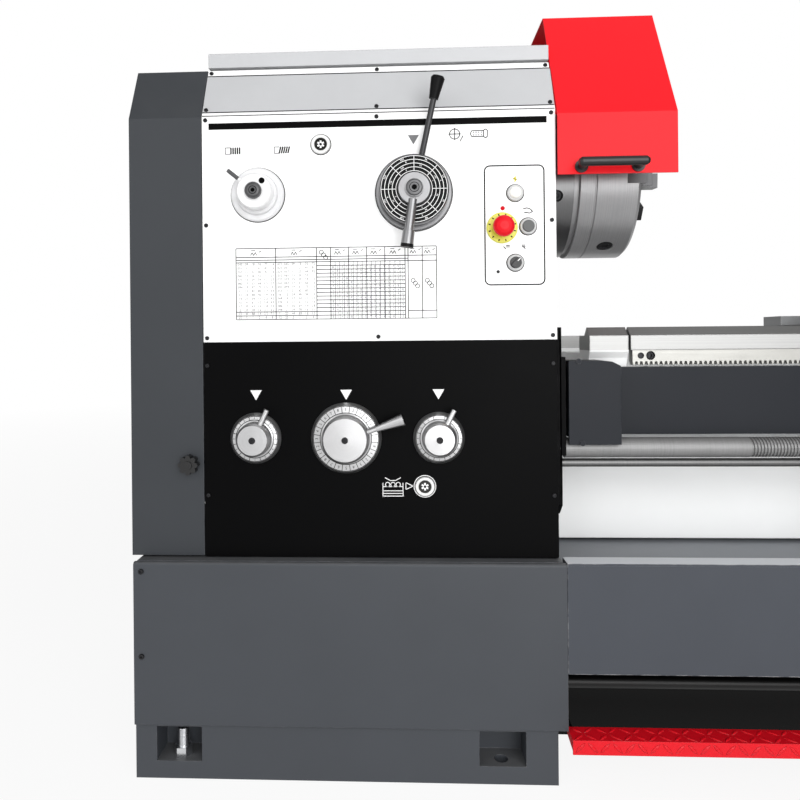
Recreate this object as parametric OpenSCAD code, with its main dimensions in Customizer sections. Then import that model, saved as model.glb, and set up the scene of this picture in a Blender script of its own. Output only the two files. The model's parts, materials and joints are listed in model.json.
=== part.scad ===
// Universal lathe with gap bed, geared headstock, feed gearbox, carriage and tailstock.
// Millimetres. +X runs to the tailstock, +Y to the rear, +Z up. The spindle axis lies in the plane Y = 0,
// and the origin is on the floor under the middle of the headstock pedestal.

/* [Base] */
// Width of the headstock pedestal
pedestal_width = 810; // [780:5:840]
// Height of both pedestals, up to the seat of the bed
pedestal_height = 411; // [405:1:417]
// Height of the cast foot under each pedestal
foot_height = 104; // [98:1:108]
// Width of the tailstock pedestal
tail_pedestal_width = 500; // [440:10:560]
// Height of the chip tray's front panel
tray_front = 203; // [180:1:220]

/* [Bed] */
// Largest distance between the two centres
between_centres = 2000; // [1600:50:2400]
// Height of the flat ways above the floor
way_height = 830; // [826:1:834]
// Height of the V ways above the flat ways
vee_height = 16; // [12:1:18]
// Module of the rack's teeth
rack_module = 3; // [2.5:0.25:3.5]
// Diameter of the leadscrew
leadscrew_dia = 38; // [32:1:40]
// Diameter of the feed rod
feed_rod_dia = 16; // [14:1:18]

/* [Headstock] */
// Spindle axis above the flat ways, half the swing
centre_height = 330; // [320:1:340]
// Width of the headstock and of the gearbox
headstock_width = 671; // [655:1:680]
// Height of the upright front panel
panel_height = 432.5; // [420:0.5:440]
// Height of the sloped panel
slope_rise = 108; // [96:1:116]
// Depth of the sloped panel
slope_back = 52; // [44:1:60]
// Height of the lid above the black joint
lid_height = 28; // [20:1:36]
// Width of the end cover
end_cover_width = 141; // [136:1:150]

/* [Chuck] */
// Diameter of the chuck
chuck_dia = 315; // [300:1:325]
// Through bore of the spindle
spindle_bore = 105; // [80:1:108]
// Width of a jaw
jaw_width = 30; // [26:1:40]
// Length of the chuck guard
guard_length = 220; // [200:1:240]

/* [Controls] */
// Radius of the speed dial
speed_dial_r = 64.5; // [58:0.5:68]
// Length of the range lever from the dial's axis
range_lever_length = 214; // [190:1:230]
// Radius of the middle gearbox dial
middle_dial_r = 67; // [60:1:70]
// Radius of the outer gearbox dials
small_dial_r = 48.5; // [44:0.5:52]
// Diameter of the emergency-stop button
estop_dia = 40; // [36:1:44]

/* [Carriage and tailstock] */
// Length of the saddle along the bed
saddle_length = 450; // [420:5:480]
// Diameter of the tailstock quill
quill_dia = 90; // [75:1:100]
// Radius of the apron handwheel
handwheel_r = 105; // [90:1:120]

/* [Hidden] */
$fn = 64;
run = 0.06;
// seam between pieces of one casting or one folded sheet
seam = 0.05;
slip = 0.12;
hx1 = pedestal_width / 2 - 8;
hx0 = hx1 - headstock_width;
fy = -250;
base_y = -280;
rear_y = 290;
zs = way_height - 6.5;
zp = zs + panel_height;
zt = zp + slope_rise;
axis_z = way_height + centre_height;
zk = zt + 5;
nose_x = hx1 + 58;
gap_x1 = hx1 + 153;
tip_x = nose_x + 25 + between_centres;
bed_x0 = hx0 + 24;
bed_x1 = tip_x + 420;
tail_x1 = bed_x1 - 20;
tail_x0 = tail_x1 - tail_pedestal_width;
tray_x0 = pedestal_width / 2 - 5;
rail_out = 195;
rail_in = 114;
web_out = 105;
web_in = 75;
vee_y = -172;
vee_half = 18;
inner_vee_y = 134;
inner_vee_half = 14;
inner_vee_height = 12;
cover_top = way_height - 62;
cover_bottom = way_height - 193;
screw_y = -225;
screw_z = way_height - 213;
rod_z = screw_z - leadscrew_dia / 2 - 2 - feed_rod_dia / 2;
slope_len = sqrt(slope_back * slope_back + slope_rise * slope_rise);
sd = [slope_back / slope_len, slope_rise / slope_len];
sn = [sd[1], -sd[0]];
function on_slope(t, depth) = [fy + sd[0] * t + sn[0] * depth, zp + sd[1] * t + sn[1] * depth];
slope_tilt = atan2(slope_back, slope_rise);
// places on the front panel
hub_p = [hx0 + 107.6, zs + 280.5];
dial_p = [hx0 + 405, zs + 279.5];
lamp_p = [hx1 - 76, zs + 275.5];
estop_p = [hx1 - 101, zs + 210.5];
jog_p = [hx1 - 52.5, zs + 212.5];
select_p = [hx1 - 76.6, zs + 144.5];
gearbox_rise = zs - pedestal_height;
dial_z = pedestal_height + gearbox_rise * 0.555152;
dials_x = [hx0 + 100.3, hx0 + 273, hx0 + 448];
sight_top = [hx0 + 229, zs + 374.5];
sight_low = [hx0 + 421, pedestal_height + gearbox_rise * 0.330909];
// change gears: module, teeth and places in the plane of Y and Z
gear_m = 3;
teeth_u = 40;
teeth_i = 80;
teeth_l = 54;
gear_u = [-150, zs + 176.5];
// the lower gear hangs by this drop below the headstock, so the gears stay in mesh
gear_drop = 183.4998;
gear_l = [-150, zs - gear_drop];
gd_ui = gear_m * (teeth_u + teeth_i) / 2;
gd_il = gear_m * (teeth_i + teeth_l) / 2;
gd_ul = gear_u[1] - gear_l[1];
gear_a = (gd_ui * gd_ui - gd_il * gd_il + gd_ul * gd_ul) / (2 * gd_ul);
gear_i = [gear_u[0] + sqrt(gd_ui * gd_ui - gear_a * gear_a), gear_u[1] - gear_a];
turn_ui = atan2(gear_i[1] - gear_u[1], gear_i[0] - gear_u[0]);
turn_il = atan2(gear_l[1] - gear_i[1], gear_l[0] - gear_i[0]);
spin_i = turn_ui + 180 + 180 / teeth_i;
spin_l = turn_il + 180 - (spin_i - turn_il) * teeth_i / teeth_l + 180 / teeth_l;
gear_x0 = hx0 - 102;
gear_x1 = hx0 - 78;
pulley_x0 = hx0 - 60;
pulley_x1 = hx0 - 6;
pulley_p = [85, zs + 200];
pulley_r = 92;
motor_p = [85, 250];
motor_r = 62;
guard_x0 = hx1 + 1.5;
guard_x1 = guard_x0 + guard_length;
guard_low = axis_z - 30;
guard_fold = axis_z + 84;
guard_top = axis_z + 318;
hinge_p = [168, zt - 18];
cover_hinge = [hx0 - 8, 208];
chuck_r = chuck_dia / 2;
chuck_x0 = nose_x + 11.5;
chuck_x1 = nose_x + 134;
car_x = nose_x + 770;
car_half = saddle_length / 2;
tail_x = tip_x + 80;
pedal_p = [-140, 130];
nose_r = chuck_r - 2.5;

// A drawing in the plane of Y and Z, drawn out along X
module along_x(x0, x1) {
  translate([x0, 0, 0]) rotate([90, 0, 90]) linear_extrude(x1 - x0) children();
}
// A drawing in the plane of X and Z, drawn out along Y
module along_y(y0, y1) {
  translate([0, y1, 0]) rotate([90, 0, 0]) linear_extrude(y1 - y0) children();
}
// Round bars along each axis, the second radius is for tapers
module rod_x(x0, x1, y, z, r, r2 = 0) {
  translate([x0, y, z]) rotate([0, 90, 0]) cylinder(h = x1 - x0, r1 = r, r2 = r2 > 0 ? r2 : r);
}
module rod_y(y0, y1, x, z, r, r2 = 0) {
  translate([x, y0, z]) rotate([-90, 0, 0]) cylinder(h = y1 - y0, r1 = r, r2 = r2 > 0 ? r2 : r);
}
module rod_z(z0, z1, x, y, r) {
  translate([x, y, z0]) cylinder(h = z1 - z0, r = r);
}
module slab(x0, x1, y0, y1, z0, z1) {
  translate([x0, y0, z0]) cube([x1 - x0, y1 - y0, z1 - z0]);
}
// A rectangle from one corner to the other with round corners
module round_box(a, b, c, d, r) {
  translate([a + r, c]) square([b - a - 2 * r, d - c]);
  translate([a, c + r]) square([b - a, d - c - 2 * r]);
  for (u = [a + r, b - r], v = [c + r, d - r]) translate([u, v]) circle(r);
}
// A body turned about an axis along X at height z, drawn as [x, radius]
module turned_x(z, y = 0) {
  translate([0, y, z]) rotate([0, 90, 0]) rotate([0, 0, 180]) rotate_extrude() rotate(90) mirror([0, 1]) children();
}
// A body turned about an axis along Y, drawn as [radius, distance out of the front plane]
module turned_y(p, y = fy) {
  translate([p[0], y, p[1]]) rotate([90, 0, 0]) rotate_extrude() children();
}

// Base

// Pocket in a foot for one levelling bolt, opening to the front or the rear
module foot_pocket(x, y0, y1) {
  slab(x - 43, x + 43, y0, y1, 33, foot_height - 6);
  rod_z(-1, 40, x, (y0 + y1) / 2, 13);
}
module pedestal_feet(x0, x1) {
  for (x = [x0 + 83, x1 - 102]) {
    foot_pocket(x, base_y, base_y + 68);
    foot_pocket(x, rear_y - 60, rear_y + 8);
  }
}
module headstock_pedestal() {
  w = pedestal_width / 2;
  color([0.16, 0.17, 0.18]) difference() {
    union() {
      slab(-w + 1, w - 17, base_y + 8, rear_y, 0, foot_height);
      slab(-w + 5, w - 5, base_y + 10, rear_y, foot_height, pedestal_height);
    }
    pedestal_feet(-w + 1, w - 17);
    slab(-w + 15, w - 15, base_y + 22, rear_y - 12, foot_height + 12, pedestal_height - 14);
    slab(-w + 50, w - 50, base_y - 1, base_y + 30, foot_height + 30, pedestal_height - 30);
    for (x = [-220, 40]) slab(x, x + 160, -190, 210, -1, foot_height - 20);
    slab(pulley_x0 - 8, pulley_x1 + 6, motor_p[0] - 110, motor_p[0] + 110, pedestal_height - 20, pedestal_height + 1);
    rod_x(w - 20, w + 1, pedal_p[0], pedal_p[1], 12.5 + run);
  }
  // drive motor on its plate, fused to the pedestal
  color([0.2, 0.22, 0.25]) difference() {
    union() {
      rod_x(hx0 + 40, hx0 + 380, motor_p[0], motor_p[1], 105);
      slab(hx0 + 80, hx0 + 340, motor_p[0] - 90, motor_p[0] + 90, foot_height + 11, motor_p[1]);
    }
    rod_x(hx0 + 39, hx0 + 140, motor_p[0], motor_p[1], 19 + run);
  }
}
module pedestal_front_cover() {
  w = pedestal_width / 2;
  color([0.17, 0.18, 0.19]) along_x(-w + 1, w) {
    translate([base_y + 5, pedestal_height - 6]) circle(5);
    polygon([[base_y, foot_height + 0.5], [base_y + 10, foot_height + 0.5], [base_y + 10, pedestal_height - 1],
      [base_y + 5, pedestal_height - 1], [base_y + 5, pedestal_height - 6], [base_y, pedestal_height - 6]]);
  }
}
module tailstock_pedestal() {
  color([0.16, 0.17, 0.18]) difference() {
    union() {
      slab(tail_x0 + 8, tail_x1 - 8, base_y + 8, rear_y, 0, foot_height);
      slab(tail_x0, tail_x1, base_y, rear_y, foot_height, pedestal_height);
    }
    pedestal_feet(tail_x0 + 8, tail_x1 - 8);
    slab(tail_x0 + 12, tail_x1 - 12, base_y + 12, rear_y - 12, foot_height + 12, pedestal_height - 14);
    slab(tail_x0 + 140, tail_x1 - 160, -190, 210, -1, foot_height - 20);
    rod_x(tail_x0 - 1, tail_x0 + 15, pedal_p[0], pedal_p[1], 12.5 + run);
  }
}
// Levelling bolt with its nut, standing in a foot pocket
module levelling_bolt(x, y) {
  rod_z(0, 84, x, y, 10);
  translate([x, y, 33]) cylinder(h = 17, r = 17.5, $fn = 6);
}
module levelling_bolts() {
  w = pedestal_width / 2;
  color([0.75, 0.76, 0.78]) {
    levelling_bolt(-w + 84, base_y + 34);
    for (x = [-w + 84, w - 119]) levelling_bolt(x, rear_y - 26);
    for (x = [tail_x0 + 91, tail_x1 - 110], y = [base_y + 34, rear_y - 26]) levelling_bolt(x, y);
  }
}
module chip_tray() {
  x0 = tray_x0;
  x1 = tail_x0;
  z1 = pedestal_height + 1;
  zb = z1 - tray_front;
  color([0.2, 0.21, 0.22]) {
    slab(x0 + 5.5, x1, base_y, base_y + 4, zb, z1 - 4 - seam);
    slab(x0 + 5.5, x1, base_y, base_y + 40, z1 - 4, z1);
    slab(x0 + 5.5, x1, base_y + 37, base_y + 40, z1 - 9 + seam, z1 - 4 - seam);
    slab(x0, x1, base_y + 37, rear_y - 7 - seam, z1 - 12, z1 - 9);
    slab(x0, x1, rear_y - 7, rear_y - 4, z1 - 12, z1 + 50);
    slab(x0 + 5.5, x1 - 4 - seam, base_y + 4 + seam, base_y + 80, zb, zb + 4);
    slab(x0, x0 + 4, base_y + 30, rear_y - 4, zb, z1 - 12 - seam);
    slab(x1 - 4, x1, base_y + 30, rear_y - 4, zb, z1 - 12 - seam);
    slab(x0 + 4 + seam, x1 - 4 - seam, -112, -108, 6, z1 - 12 - seam);
  }
}
// Brake treadle with its arms on a torsion shaft
module brake_pedal() {
  x0 = tray_x0 + 7;
  x1 = tail_x0 - 6;
  color([0.75, 0.08, 0.1]) {
    slab(x0, x1, base_y - 25, base_y + 21, foot_height - 5, foot_height - 2);
    slab(x0, x1, base_y - 25, base_y - 22, foot_height - 28, foot_height - 3);
    rod_x(tray_x0 - 9, tail_x0 + 9, pedal_p[0], pedal_p[1], 12.5);
    for (x = [x0, (x0 + x1) / 2, x1 - 10]) along_x(x, x + 10) {
      polygon([[base_y - 23, foot_height - 5], [base_y - 23, foot_height - 22], [-200, foot_height - 6],
        [-130, pedal_p[1] - 14], [-150, pedal_p[1] + 14], [-215, foot_height - 3], [base_y + 20, foot_height - 3]]);
      translate(pedal_p) circle(17);
    }
  }
}

// Bed

module front_rail() {
  polygon([[-182, cover_bottom], [-182, cover_top],
    [-172, cover_top], [-172, way_height - 29], [-rail_out, way_height - 29], [-rail_out, way_height],
    [vee_y - vee_half, way_height], [vee_y, way_height + vee_height], [vee_y + vee_half, way_height],
    [-rail_in, way_height], [-rail_in, way_height - 140], [-web_in, way_height - 180], [-web_in, cover_bottom]]);
}
module rear_rail() {
  polygon([[182, cover_bottom], [182, way_height - 29],
    [rail_out, way_height - 29], [rail_out, way_height], [inner_vee_y + inner_vee_half, way_height],
    [inner_vee_y, way_height + inner_vee_height], [inner_vee_y - inner_vee_half, way_height],
    [rail_in, way_height], [rail_in, way_height - 140], [web_in, way_height - 180], [web_in, cover_bottom]]);
}
module bed() {
  color([0.85, 0.86, 0.86]) {
    // headstock seat
    difference() {
      slab(bed_x0, hx1 - 1, -web_out, 190, pedestal_height, zs);
      slab(bed_x0 + 25, hx1 - 25, -web_in, 160, pedestal_height - 1, zs - 30);
    }
    // floor of the gap
    difference() {
      union() {
        slab(hx1, gap_x1, -182, 182, cover_bottom, cover_top);
        slab(hx1 - 1 + seam, gap_x1, -web_out, 182, cover_bottom, cover_top);
      }
      slab(hx1 - 2, gap_x1 + 1, -web_in, web_in, cover_bottom - 1, cover_top - 30);
    }
    // webs that stand on the pedestals, the ways above them and the ribs between
    for (y = [-web_out, web_in])
      slab(hx1 - 1 + seam, bed_x1, y, y + web_out - web_in, pedestal_height, cover_bottom - seam);
    along_x(gap_x1 + seam, bed_x1) front_rail();
    along_x(gap_x1 + seam, bed_x1) rear_rail();
    for (k = [0:7]) {
      x = gap_x1 + seam + k * (bed_x1 - gap_x1 - 26 - seam) / 7;
      slab(x, x + 26, -web_in + seam, web_in - seam, pedestal_height, way_height - 70);
    }
    // bracket for the far ends of the leadscrew and the feed rod
    difference() {
      slab(tail_x1 - 60, tail_x1 - 15, -262, -182 - seam, rod_z - 28, screw_z + 48);
      rod_x(tail_x1 - 70, tail_x1, screw_y, screw_z, 15 + run);
      rod_x(tail_x1 - 70, tail_x1, screw_y, rod_z, feed_rod_dia / 2 + run);
    }
  }
}
// Piece set into the gap of the bed, with the same ways
module gap_bridge() {
  z = cover_top;
  color([0.8, 0.81, 0.81]) along_x(hx1 + 74, gap_x1 - 4) polygon([[-182, z], [-186, z + 18],
    [-rail_out, z + 30], [-rail_out, way_height], [vee_y - vee_half, way_height], [vee_y, way_height + vee_height],
    [vee_y + vee_half, way_height], [-rail_in, way_height], [-rail_in, z + 25], [rail_in, z + 25],
    [rail_in, way_height], [rail_out, way_height], [rail_out, z + 20], [182, z]]);
}
// Rack in three lengths, teeth down
rack_pitch = rack_module * PI;
rack_teeth = floor((tail_x1 - 90 - gap_x1) / 3 / rack_pitch) - 1;
rack_z = way_height - 58;
module rack_length(x0) {
  n = rack_teeth;
  h = 2.25 * rack_module;
  pts = [for (k = [0:n - 1], s = [[0, h], [0.18, 0], [0.44, 0], [0.62, h]]) [x0 + (k + s[0]) * rack_pitch, rack_z + s[1]]];
  along_y(-192, -172) polygon(concat(pts, [[x0 + n * rack_pitch - 0.4, rack_z + h],
    [x0 + n * rack_pitch - 0.4, way_height - 29], [x0, way_height - 29]]));
}
module rack() {
  color([0.55, 0.54, 0.5]) for (k = [0:2]) difference() {
    x0 = gap_x1 + 4 + k * rack_teeth * rack_pitch;
    rack_length(x0);
    rod_y(-193, -184, x0 + 16, way_height - 40, 6);
    rod_y(-193, -182, x0 + 35, way_height - 40, 8.5);
    rod_y(-193, -182, x0 + rack_teeth * rack_pitch - 25, way_height - 40, 8.5);
  }
}
module bed_front_cover() {
  color([0.1, 0.11, 0.12]) slab(hx1 + 17, tail_x1 - 64, -190, -182, cover_bottom, cover_top);
}
// Hood over the couplings of the leadscrew, open below
module coupling_cover() {
  x0 = hx1 + 20;
  x1 = hx1 + 116;
  z0 = screw_z + 9;
  z1 = cover_top + 15;
  color([0.11, 0.12, 0.13]) {
    difference() {
      along_y(-255, -190) polygon([[x0, z0], [x1, z0], [x1, z1 - 10], [x1 - 16, z1 - 2], [x1 - 34, z1], [x0, z1]]);
      along_y(-251, -189) polygon([[x0 + 4, z0 - 1], [x1 - 4, z0 - 1], [x1 - 4, z1 - 13], [x1 - 18, z1 - 6],
        [x1 - 35, z1 - 4], [x0 + 4, z1 - 4]]);
      slab(x0 - 1, x1 + 1, -249, -189, z0 - 1, screw_z + leadscrew_dia / 2 + 4);
    }
    for (p = [[x0 + 18, z1 - 1], [x0 + 24, z0 + 3]]) rod_y(-258, -254, p[0], p[1], 5);
  }
}

// Feed gearbox and headstock

module gearbox_case() {
  color([0.06, 0.06, 0.065]) difference() {
    union() {
      slab(hx0, hx1, fy + 10, -web_out, pedestal_height, zs);
      // side plate and ribbed flange beside the bed
      along_x(hx1, hx1 + 8) polygon([[fy + 2, way_height - 318], [-222, way_height - 340], [-186, way_height - 340],
        [-186, way_height - 10], [-200, way_height + 16], [fy + 2, way_height + 16]]);
      slab(hx1 - 0.5, hx1 + 4, fy + 11, -190, way_height - 310, zs - 1);
      slab(hx1, hx1 + 15, fy, -195, way_height - 225, way_height - 40);
      // quadrant with the stud of the idler gear
      along_x(hx0 - 14, hx0) {
        translate(gear_i) circle(30);
        polygon([[gear_l[0] - 34, gear_l[1] + 40], [gear_l[0] + 40, gear_l[1]], [gear_i[0] + 30, gear_i[1]],
          [gear_i[0] - 30, gear_i[1]]]);
        translate(gear_l) circle(40);
      }
      rod_x(gear_x0 - 6, hx0, gear_i[0], gear_i[1], 14);
    }
    for (z = [way_height - 240, way_height - 220]) slab(hx1 + 4, hx1 + 7, fy - 1, -240, z - 60, z + 230);
    rod_x(hx0 - 20, hx0 + 60, gear_l[0], gear_l[1], 15 + run);
    rod_x(hx1 - 60, hx1 + 20, screw_y, screw_z, 15 + run);
    rod_x(hx1 - 60, hx1 + 20, screw_y, rod_z, feed_rod_dia / 2 + run);
    for (x = dials_x) rod_y(fy, fy + 50, x, dial_z, 10 + run);
  }
}
module gearbox_front_plate() {
  color([0.03, 0.03, 0.035]) difference() {
    along_y(fy, fy + 10) round_box(hx0, hx1, pedestal_height + 2, zs - 0.7, 4);
    for (x = dials_x) rod_y(fy - 1, fy + 11, x, dial_z, 10 + run);
  }
}
module headstock_case() {
  color([0.75, 0.76, 0.76]) {
    // hinge rod of the chuck guard, screwed to the case
    rod_x(hx1 - 1 + seam, guard_x1 + 3, hinge_p[0], hinge_p[1], 12);
    rod_x(hx1 - 1 + seam, hx1 + 1, hinge_p[0], hinge_p[1], 20);
    // lugs and pins of the end cover's hinge
    for (z = [zs - 300, zs + 300]) rod_z(z, z + 90, cover_hinge[0], cover_hinge[1], 4);
    slab(cover_hinge[0] - 5, hx0 - seam, 203, 213, zs + 300, zs + 328);
    slab(cover_hinge[0] - 5, hx0 + 12, 203, 213, zs - 300, zs - 272);
    slab(hx0, hx0 + 12, 192, 213, zs - 300, zs - seam);
    difference() {
      along_x(hx0, hx1 - 1) polygon([[fy + 10, zs], on_slope(8, 10), on_slope(slope_len - 15, 10),
        on_slope(slope_len - 15, 1), on_slope(slope_len, 1), [250, zt], [250, zs]]);
      rod_x(hx0 - 1, hx1 + 1, 0, axis_z, 70 + run);
      rod_x(hx0 - 1, hx0 + 60, gear_u[0], gear_u[1], 15 + run);
      rod_x(hx0 - 1, hx0 + 60, pulley_p[0], pulley_p[1], 20 + run);
      rod_y(fy, fy + 50, dial_p[0], dial_p[1], 15 + run);
      rod_y(fy, fy + 50, hub_p[0], hub_p[1], 10 + run);
    }
  }
}
module headstock_front_panel() {
  color([0.9, 0.9, 0.9]) difference() {
    along_x(hx0, hx1) polygon([[fy, zs], [fy, zp], on_slope(9, 0), on_slope(9, 10), [fy + 10, on_slope(8, 10)[1]],
      [fy + 10, zs]]);
    rod_y(fy - 1, fy + 12, dial_p[0], dial_p[1], 15 + run);
    rod_y(fy - 1, fy + 12, hub_p[0], hub_p[1], 10 + run);
    for (p = [estop_p, jog_p, select_p]) rod_y(fy - 1, fy + 12, p[0], p[1], 11 + run);
  }
}
module headstock_slope_panel() {
  color([0.8, 0.8, 0.8]) along_x(hx0, hx1) polygon([on_slope(11, 0), on_slope(slope_len - 17, 0),
    on_slope(slope_len - 17, 9.97), on_slope(11, 9.97)]);
}
module headstock_lid() {
  y0 = fy + slope_back;
  color([0.82, 0.82, 0.82]) difference() {
    union() {
      slab(hx0, hx1 - 1, y0, 250, zk, zk + lid_height);
      slab(hx0 + 20, hx1 - 20, y0 + 20, 230, zt, zk + 1);
    }
    slab(hx0 + 8, hx1 - 9, y0 + 8, 242, zk + 8, zk + lid_height + 1);
  }
}
module panel_screws() {
  xs = [hx0 + 7, (hx0 + hx1) / 2, hx1 - 8];
  color([0.08, 0.08, 0.09]) {
    for (x = xs, z = [zp - 7, zs + 8]) rod_y(fy - 3, fy, x, z, 4);
    for (x = [xs[0], xs[2]], z = [zs + 224, zs - 45, zs - 293]) rod_y(fy - 3, fy, x, z, 4);
    for (x = xs, s = [[16, 0], [slope_len - 8, 1]]) translate([x, on_slope(s[0], s[1])[0], on_slope(s[0], s[1])[1]])
      rotate([90 - slope_tilt, 0, 0]) cylinder(h = 3, r = 4);
    for (z = [pedestal_height - 18, pedestal_height - 178]) rod_y(base_y - 4, base_y, -pedestal_width / 2 + 16, z, 5);
    rod_y(fy - 3, fy, estop_p[0] - 8, zs + 128, 3);
  }
}
// Rings round the switches, with the wide collar of the emergency stop
module switch_bezels() {
  color([0.8, 0.8, 0.8]) {
    for (p = [lamp_p, jog_p, select_p]) turned_y(p)
      polygon([[11 + run, 0], [15.3, 0], [15.3, 4], [13.8, 6], [11 + run, 6]]);
    turned_y(estop_p) polygon([[11 + run, 0], [29, 0], [29, 3], [27.5, 4.5], [16, 4.5], [14.5, 14], [11 + run, 14]]);
  }
}
module power_lamp() {
  color([0.95, 0.95, 0.92]) turned_y(lamp_p) polygon([[0, 0], [11, 0], [11, 7], [8.5, 10.5], [4.5, 12.5], [0, 13]]);
}
// Oil sight windows: a ring with a glass
module oil_sights() {
  color([0.7, 0.7, 0.65]) for (p = [sight_top, sight_low]) {
    turned_y(p) polygon([[12, 0], [18.5, 0], [18.5, 3], [17, 5], [13, 5], [12, 4]]);
    turned_y(p) polygon([[0, 0], [12, 0], [12, 3], [0, 3]]);
  }
}
module selector_flanges() {
  color([0.62, 0.63, 0.64]) {
    turned_y(dial_p) polygon([[15 + run, 0], [72, 0], [72, 4], [70.5, 6], [15 + run, 6]]);
    turned_y(hub_p) polygon([[10 + run, 0], [51, 0], [51, 5], [48, 8], [40, 8], [38.5, 16], [10 + run, 16]]);
  }
}

// Drive and change gears under the end cover

// Outline of a belt round the two pulleys, at a distance from their grooves
module belt_outline(d) {
  a = pulley_r + d;
  b = motor_r + d;
  s = asin((a - b) / (pulley_p[1] - motor_p[1]));
  polygon(concat([for (k = [0:40]) let (t = -s + (180 + 2 * s) * k / 40) pulley_p + a * [cos(t), sin(t)]],
    [for (k = [0:30]) let (t = 180 + s + (180 - 2 * s) * k / 30) motor_p + b * [cos(t), sin(t)]]));
}
module drive_belts() {
  color([0.04, 0.04, 0.04]) for (k = [0:2]) difference() {
    x = pulley_x0 + 8 + k * 16;
    along_x(x, x + 9) belt_outline(-1.5);
    along_x(x - 1, x + 10) belt_outline(-9.9);
  }
}
// Pulley with three grooves for the belts
module pulley(p, r, shaft, reach) {
  difference() {
    union() {
      rod_x(pulley_x0, pulley_x1, p[0], p[1], r);
      rod_x(pulley_x0, reach, p[0], p[1], shaft);
    }
    for (k = [0:2]) difference() {
      x = pulley_x0 + 7.5 + k * 16;
      rod_x(x, x + 10, p[0], p[1], r + 1);
      rod_x(x - 1, x + 11, p[0], p[1], r - 10);
    }
    rod_x(pulley_x0 - 1, pulley_x0 + 6, p[0], p[1], r - 22);
  }
}
module input_pulley() {
  color([0.3, 0.31, 0.33]) pulley(pulley_p, pulley_r, 20, hx0 + 55);
}
module motor_pulley() {
  color([0.3, 0.31, 0.33]) pulley(motor_p, motor_r, 19, hx0 + 130);
}
// Involute gear, tooth 0 on the first axis
function flank(z, r) = 90 / z - 6 / z + (0.0149 - tan(acos(gear_rb(z) / r)) + acos(gear_rb(z) / r) * PI / 180) * 180 / PI;
function gear_rb(z) = gear_m * z / 2 * cos(20);
module gear(teeth, spin, bore) {
  rp = gear_m * teeth / 2;
  ra = rp + 0.95 * gear_m;
  rf = rp - 1.2 * gear_m;
  rs = max(gear_rb(teeth), rf + 0.3);
  radii = [rs, rs + (ra - rs) * 0.5, ra];
  difference() {
    rotate(spin) polygon([for (k = [0:teeth - 1], j = [0:7])
      let (a = k * 360 / teeth, i = j < 4 ? j - 1 : 6 - j, r = i < 0 ? rf : radii[i],
        w = flank(teeth, i < 0 ? rs : r), s = j < 4 ? -w : w)
      [r * cos(a + s), r * sin(a + s)]]);
    if (bore > 0) circle(bore);
  }
}
module gear_upper() {
  color([0.45, 0.45, 0.46]) {
    along_x(gear_x0, gear_x1) translate(gear_u) gear(teeth_u, turn_ui, 0);
    rod_x(gear_x1 - 1, hx0 + 55, gear_u[0], gear_u[1], 15);
    rod_x(gear_x0 - 12, gear_x0 + 1, gear_u[0], gear_u[1], 13);
  }
}
module gear_idler() {
  color([0.45, 0.45, 0.46]) {
    along_x(gear_x0, gear_x1) translate(gear_i) gear(teeth_i, spin_i, 14 + run);
    along_x(gear_x1 - 1, gear_x1 + 12) translate(gear_i) difference() {
      circle(28);
      circle(14 + run);
    }
  }
}
module gear_lower() {
  color([0.45, 0.45, 0.46]) {
    along_x(gear_x0, gear_x1) translate(gear_l) gear(teeth_l, spin_l, 0);
    rod_x(gear_x1 - 1, hx0 + 55, gear_l[0], gear_l[1], 15);
    rod_x(gear_x0 - 12, gear_x0 + 1, gear_l[0], gear_l[1], 13);
  }
}
module end_cover() {
  x1 = hx0 - 1.5;
  x0 = x1 - end_cover_width;
  z0 = pedestal_height + 4;
  color([0.15, 0.16, 0.17]) difference() {
    union() {
      along_x(x0, x1) polygon([[fy, z0], [fy, zp - 1], [fy + slope_back, zt - 1], [200, zt - 1], [200, z0]]);
      for (z = [zs - 270, zs + 330]) rod_z(z, z + 40, cover_hinge[0], cover_hinge[1], 7.6);
      for (z = [zs - 270, zs + 330]) slab(cover_hinge[0] - 7.6, cover_hinge[0], 199, cover_hinge[1], z, z + 40);
    }
    along_x(x0 + 4, x1 + 1) polygon([[fy + 4, z0 - 1], [fy + 4, zp - 2], [fy + slope_back + 3, zt - 5], [196, zt - 5],
      [196, z0 - 1]]);
    rod_x(x0 - 1, x0 + 5, 0, axis_z, spindle_bore / 2 + 4);
    rod_z(zs - 271, zs + 380, cover_hinge[0], cover_hinge[1], 4 + run);
    rod_y(fy - 1, fy + 5, hx0 - 27, zs - 232.5, 5 + run);
  }
}
// Eight-lobed clamping knob of the end cover
module star_knob() {
  p = [hx0 - 27, zs - 232.5];
  color([0.03, 0.03, 0.03]) {
    along_y(fy - 22, fy - 4) translate(p) {
      circle(14.5);
      for (k = [0:7]) rotate(k * 45) translate([14.2, 0]) circle(4.6);
    }
    rod_y(fy - 25, fy - 4, p[0], p[1], 8);
    rod_y(fy - 5, fy - 0.1, p[0], p[1], 9);
    rod_y(fy - 1, fy + 14, p[0], p[1], 5);
  }
}

// Spindle, chuck and guard

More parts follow.
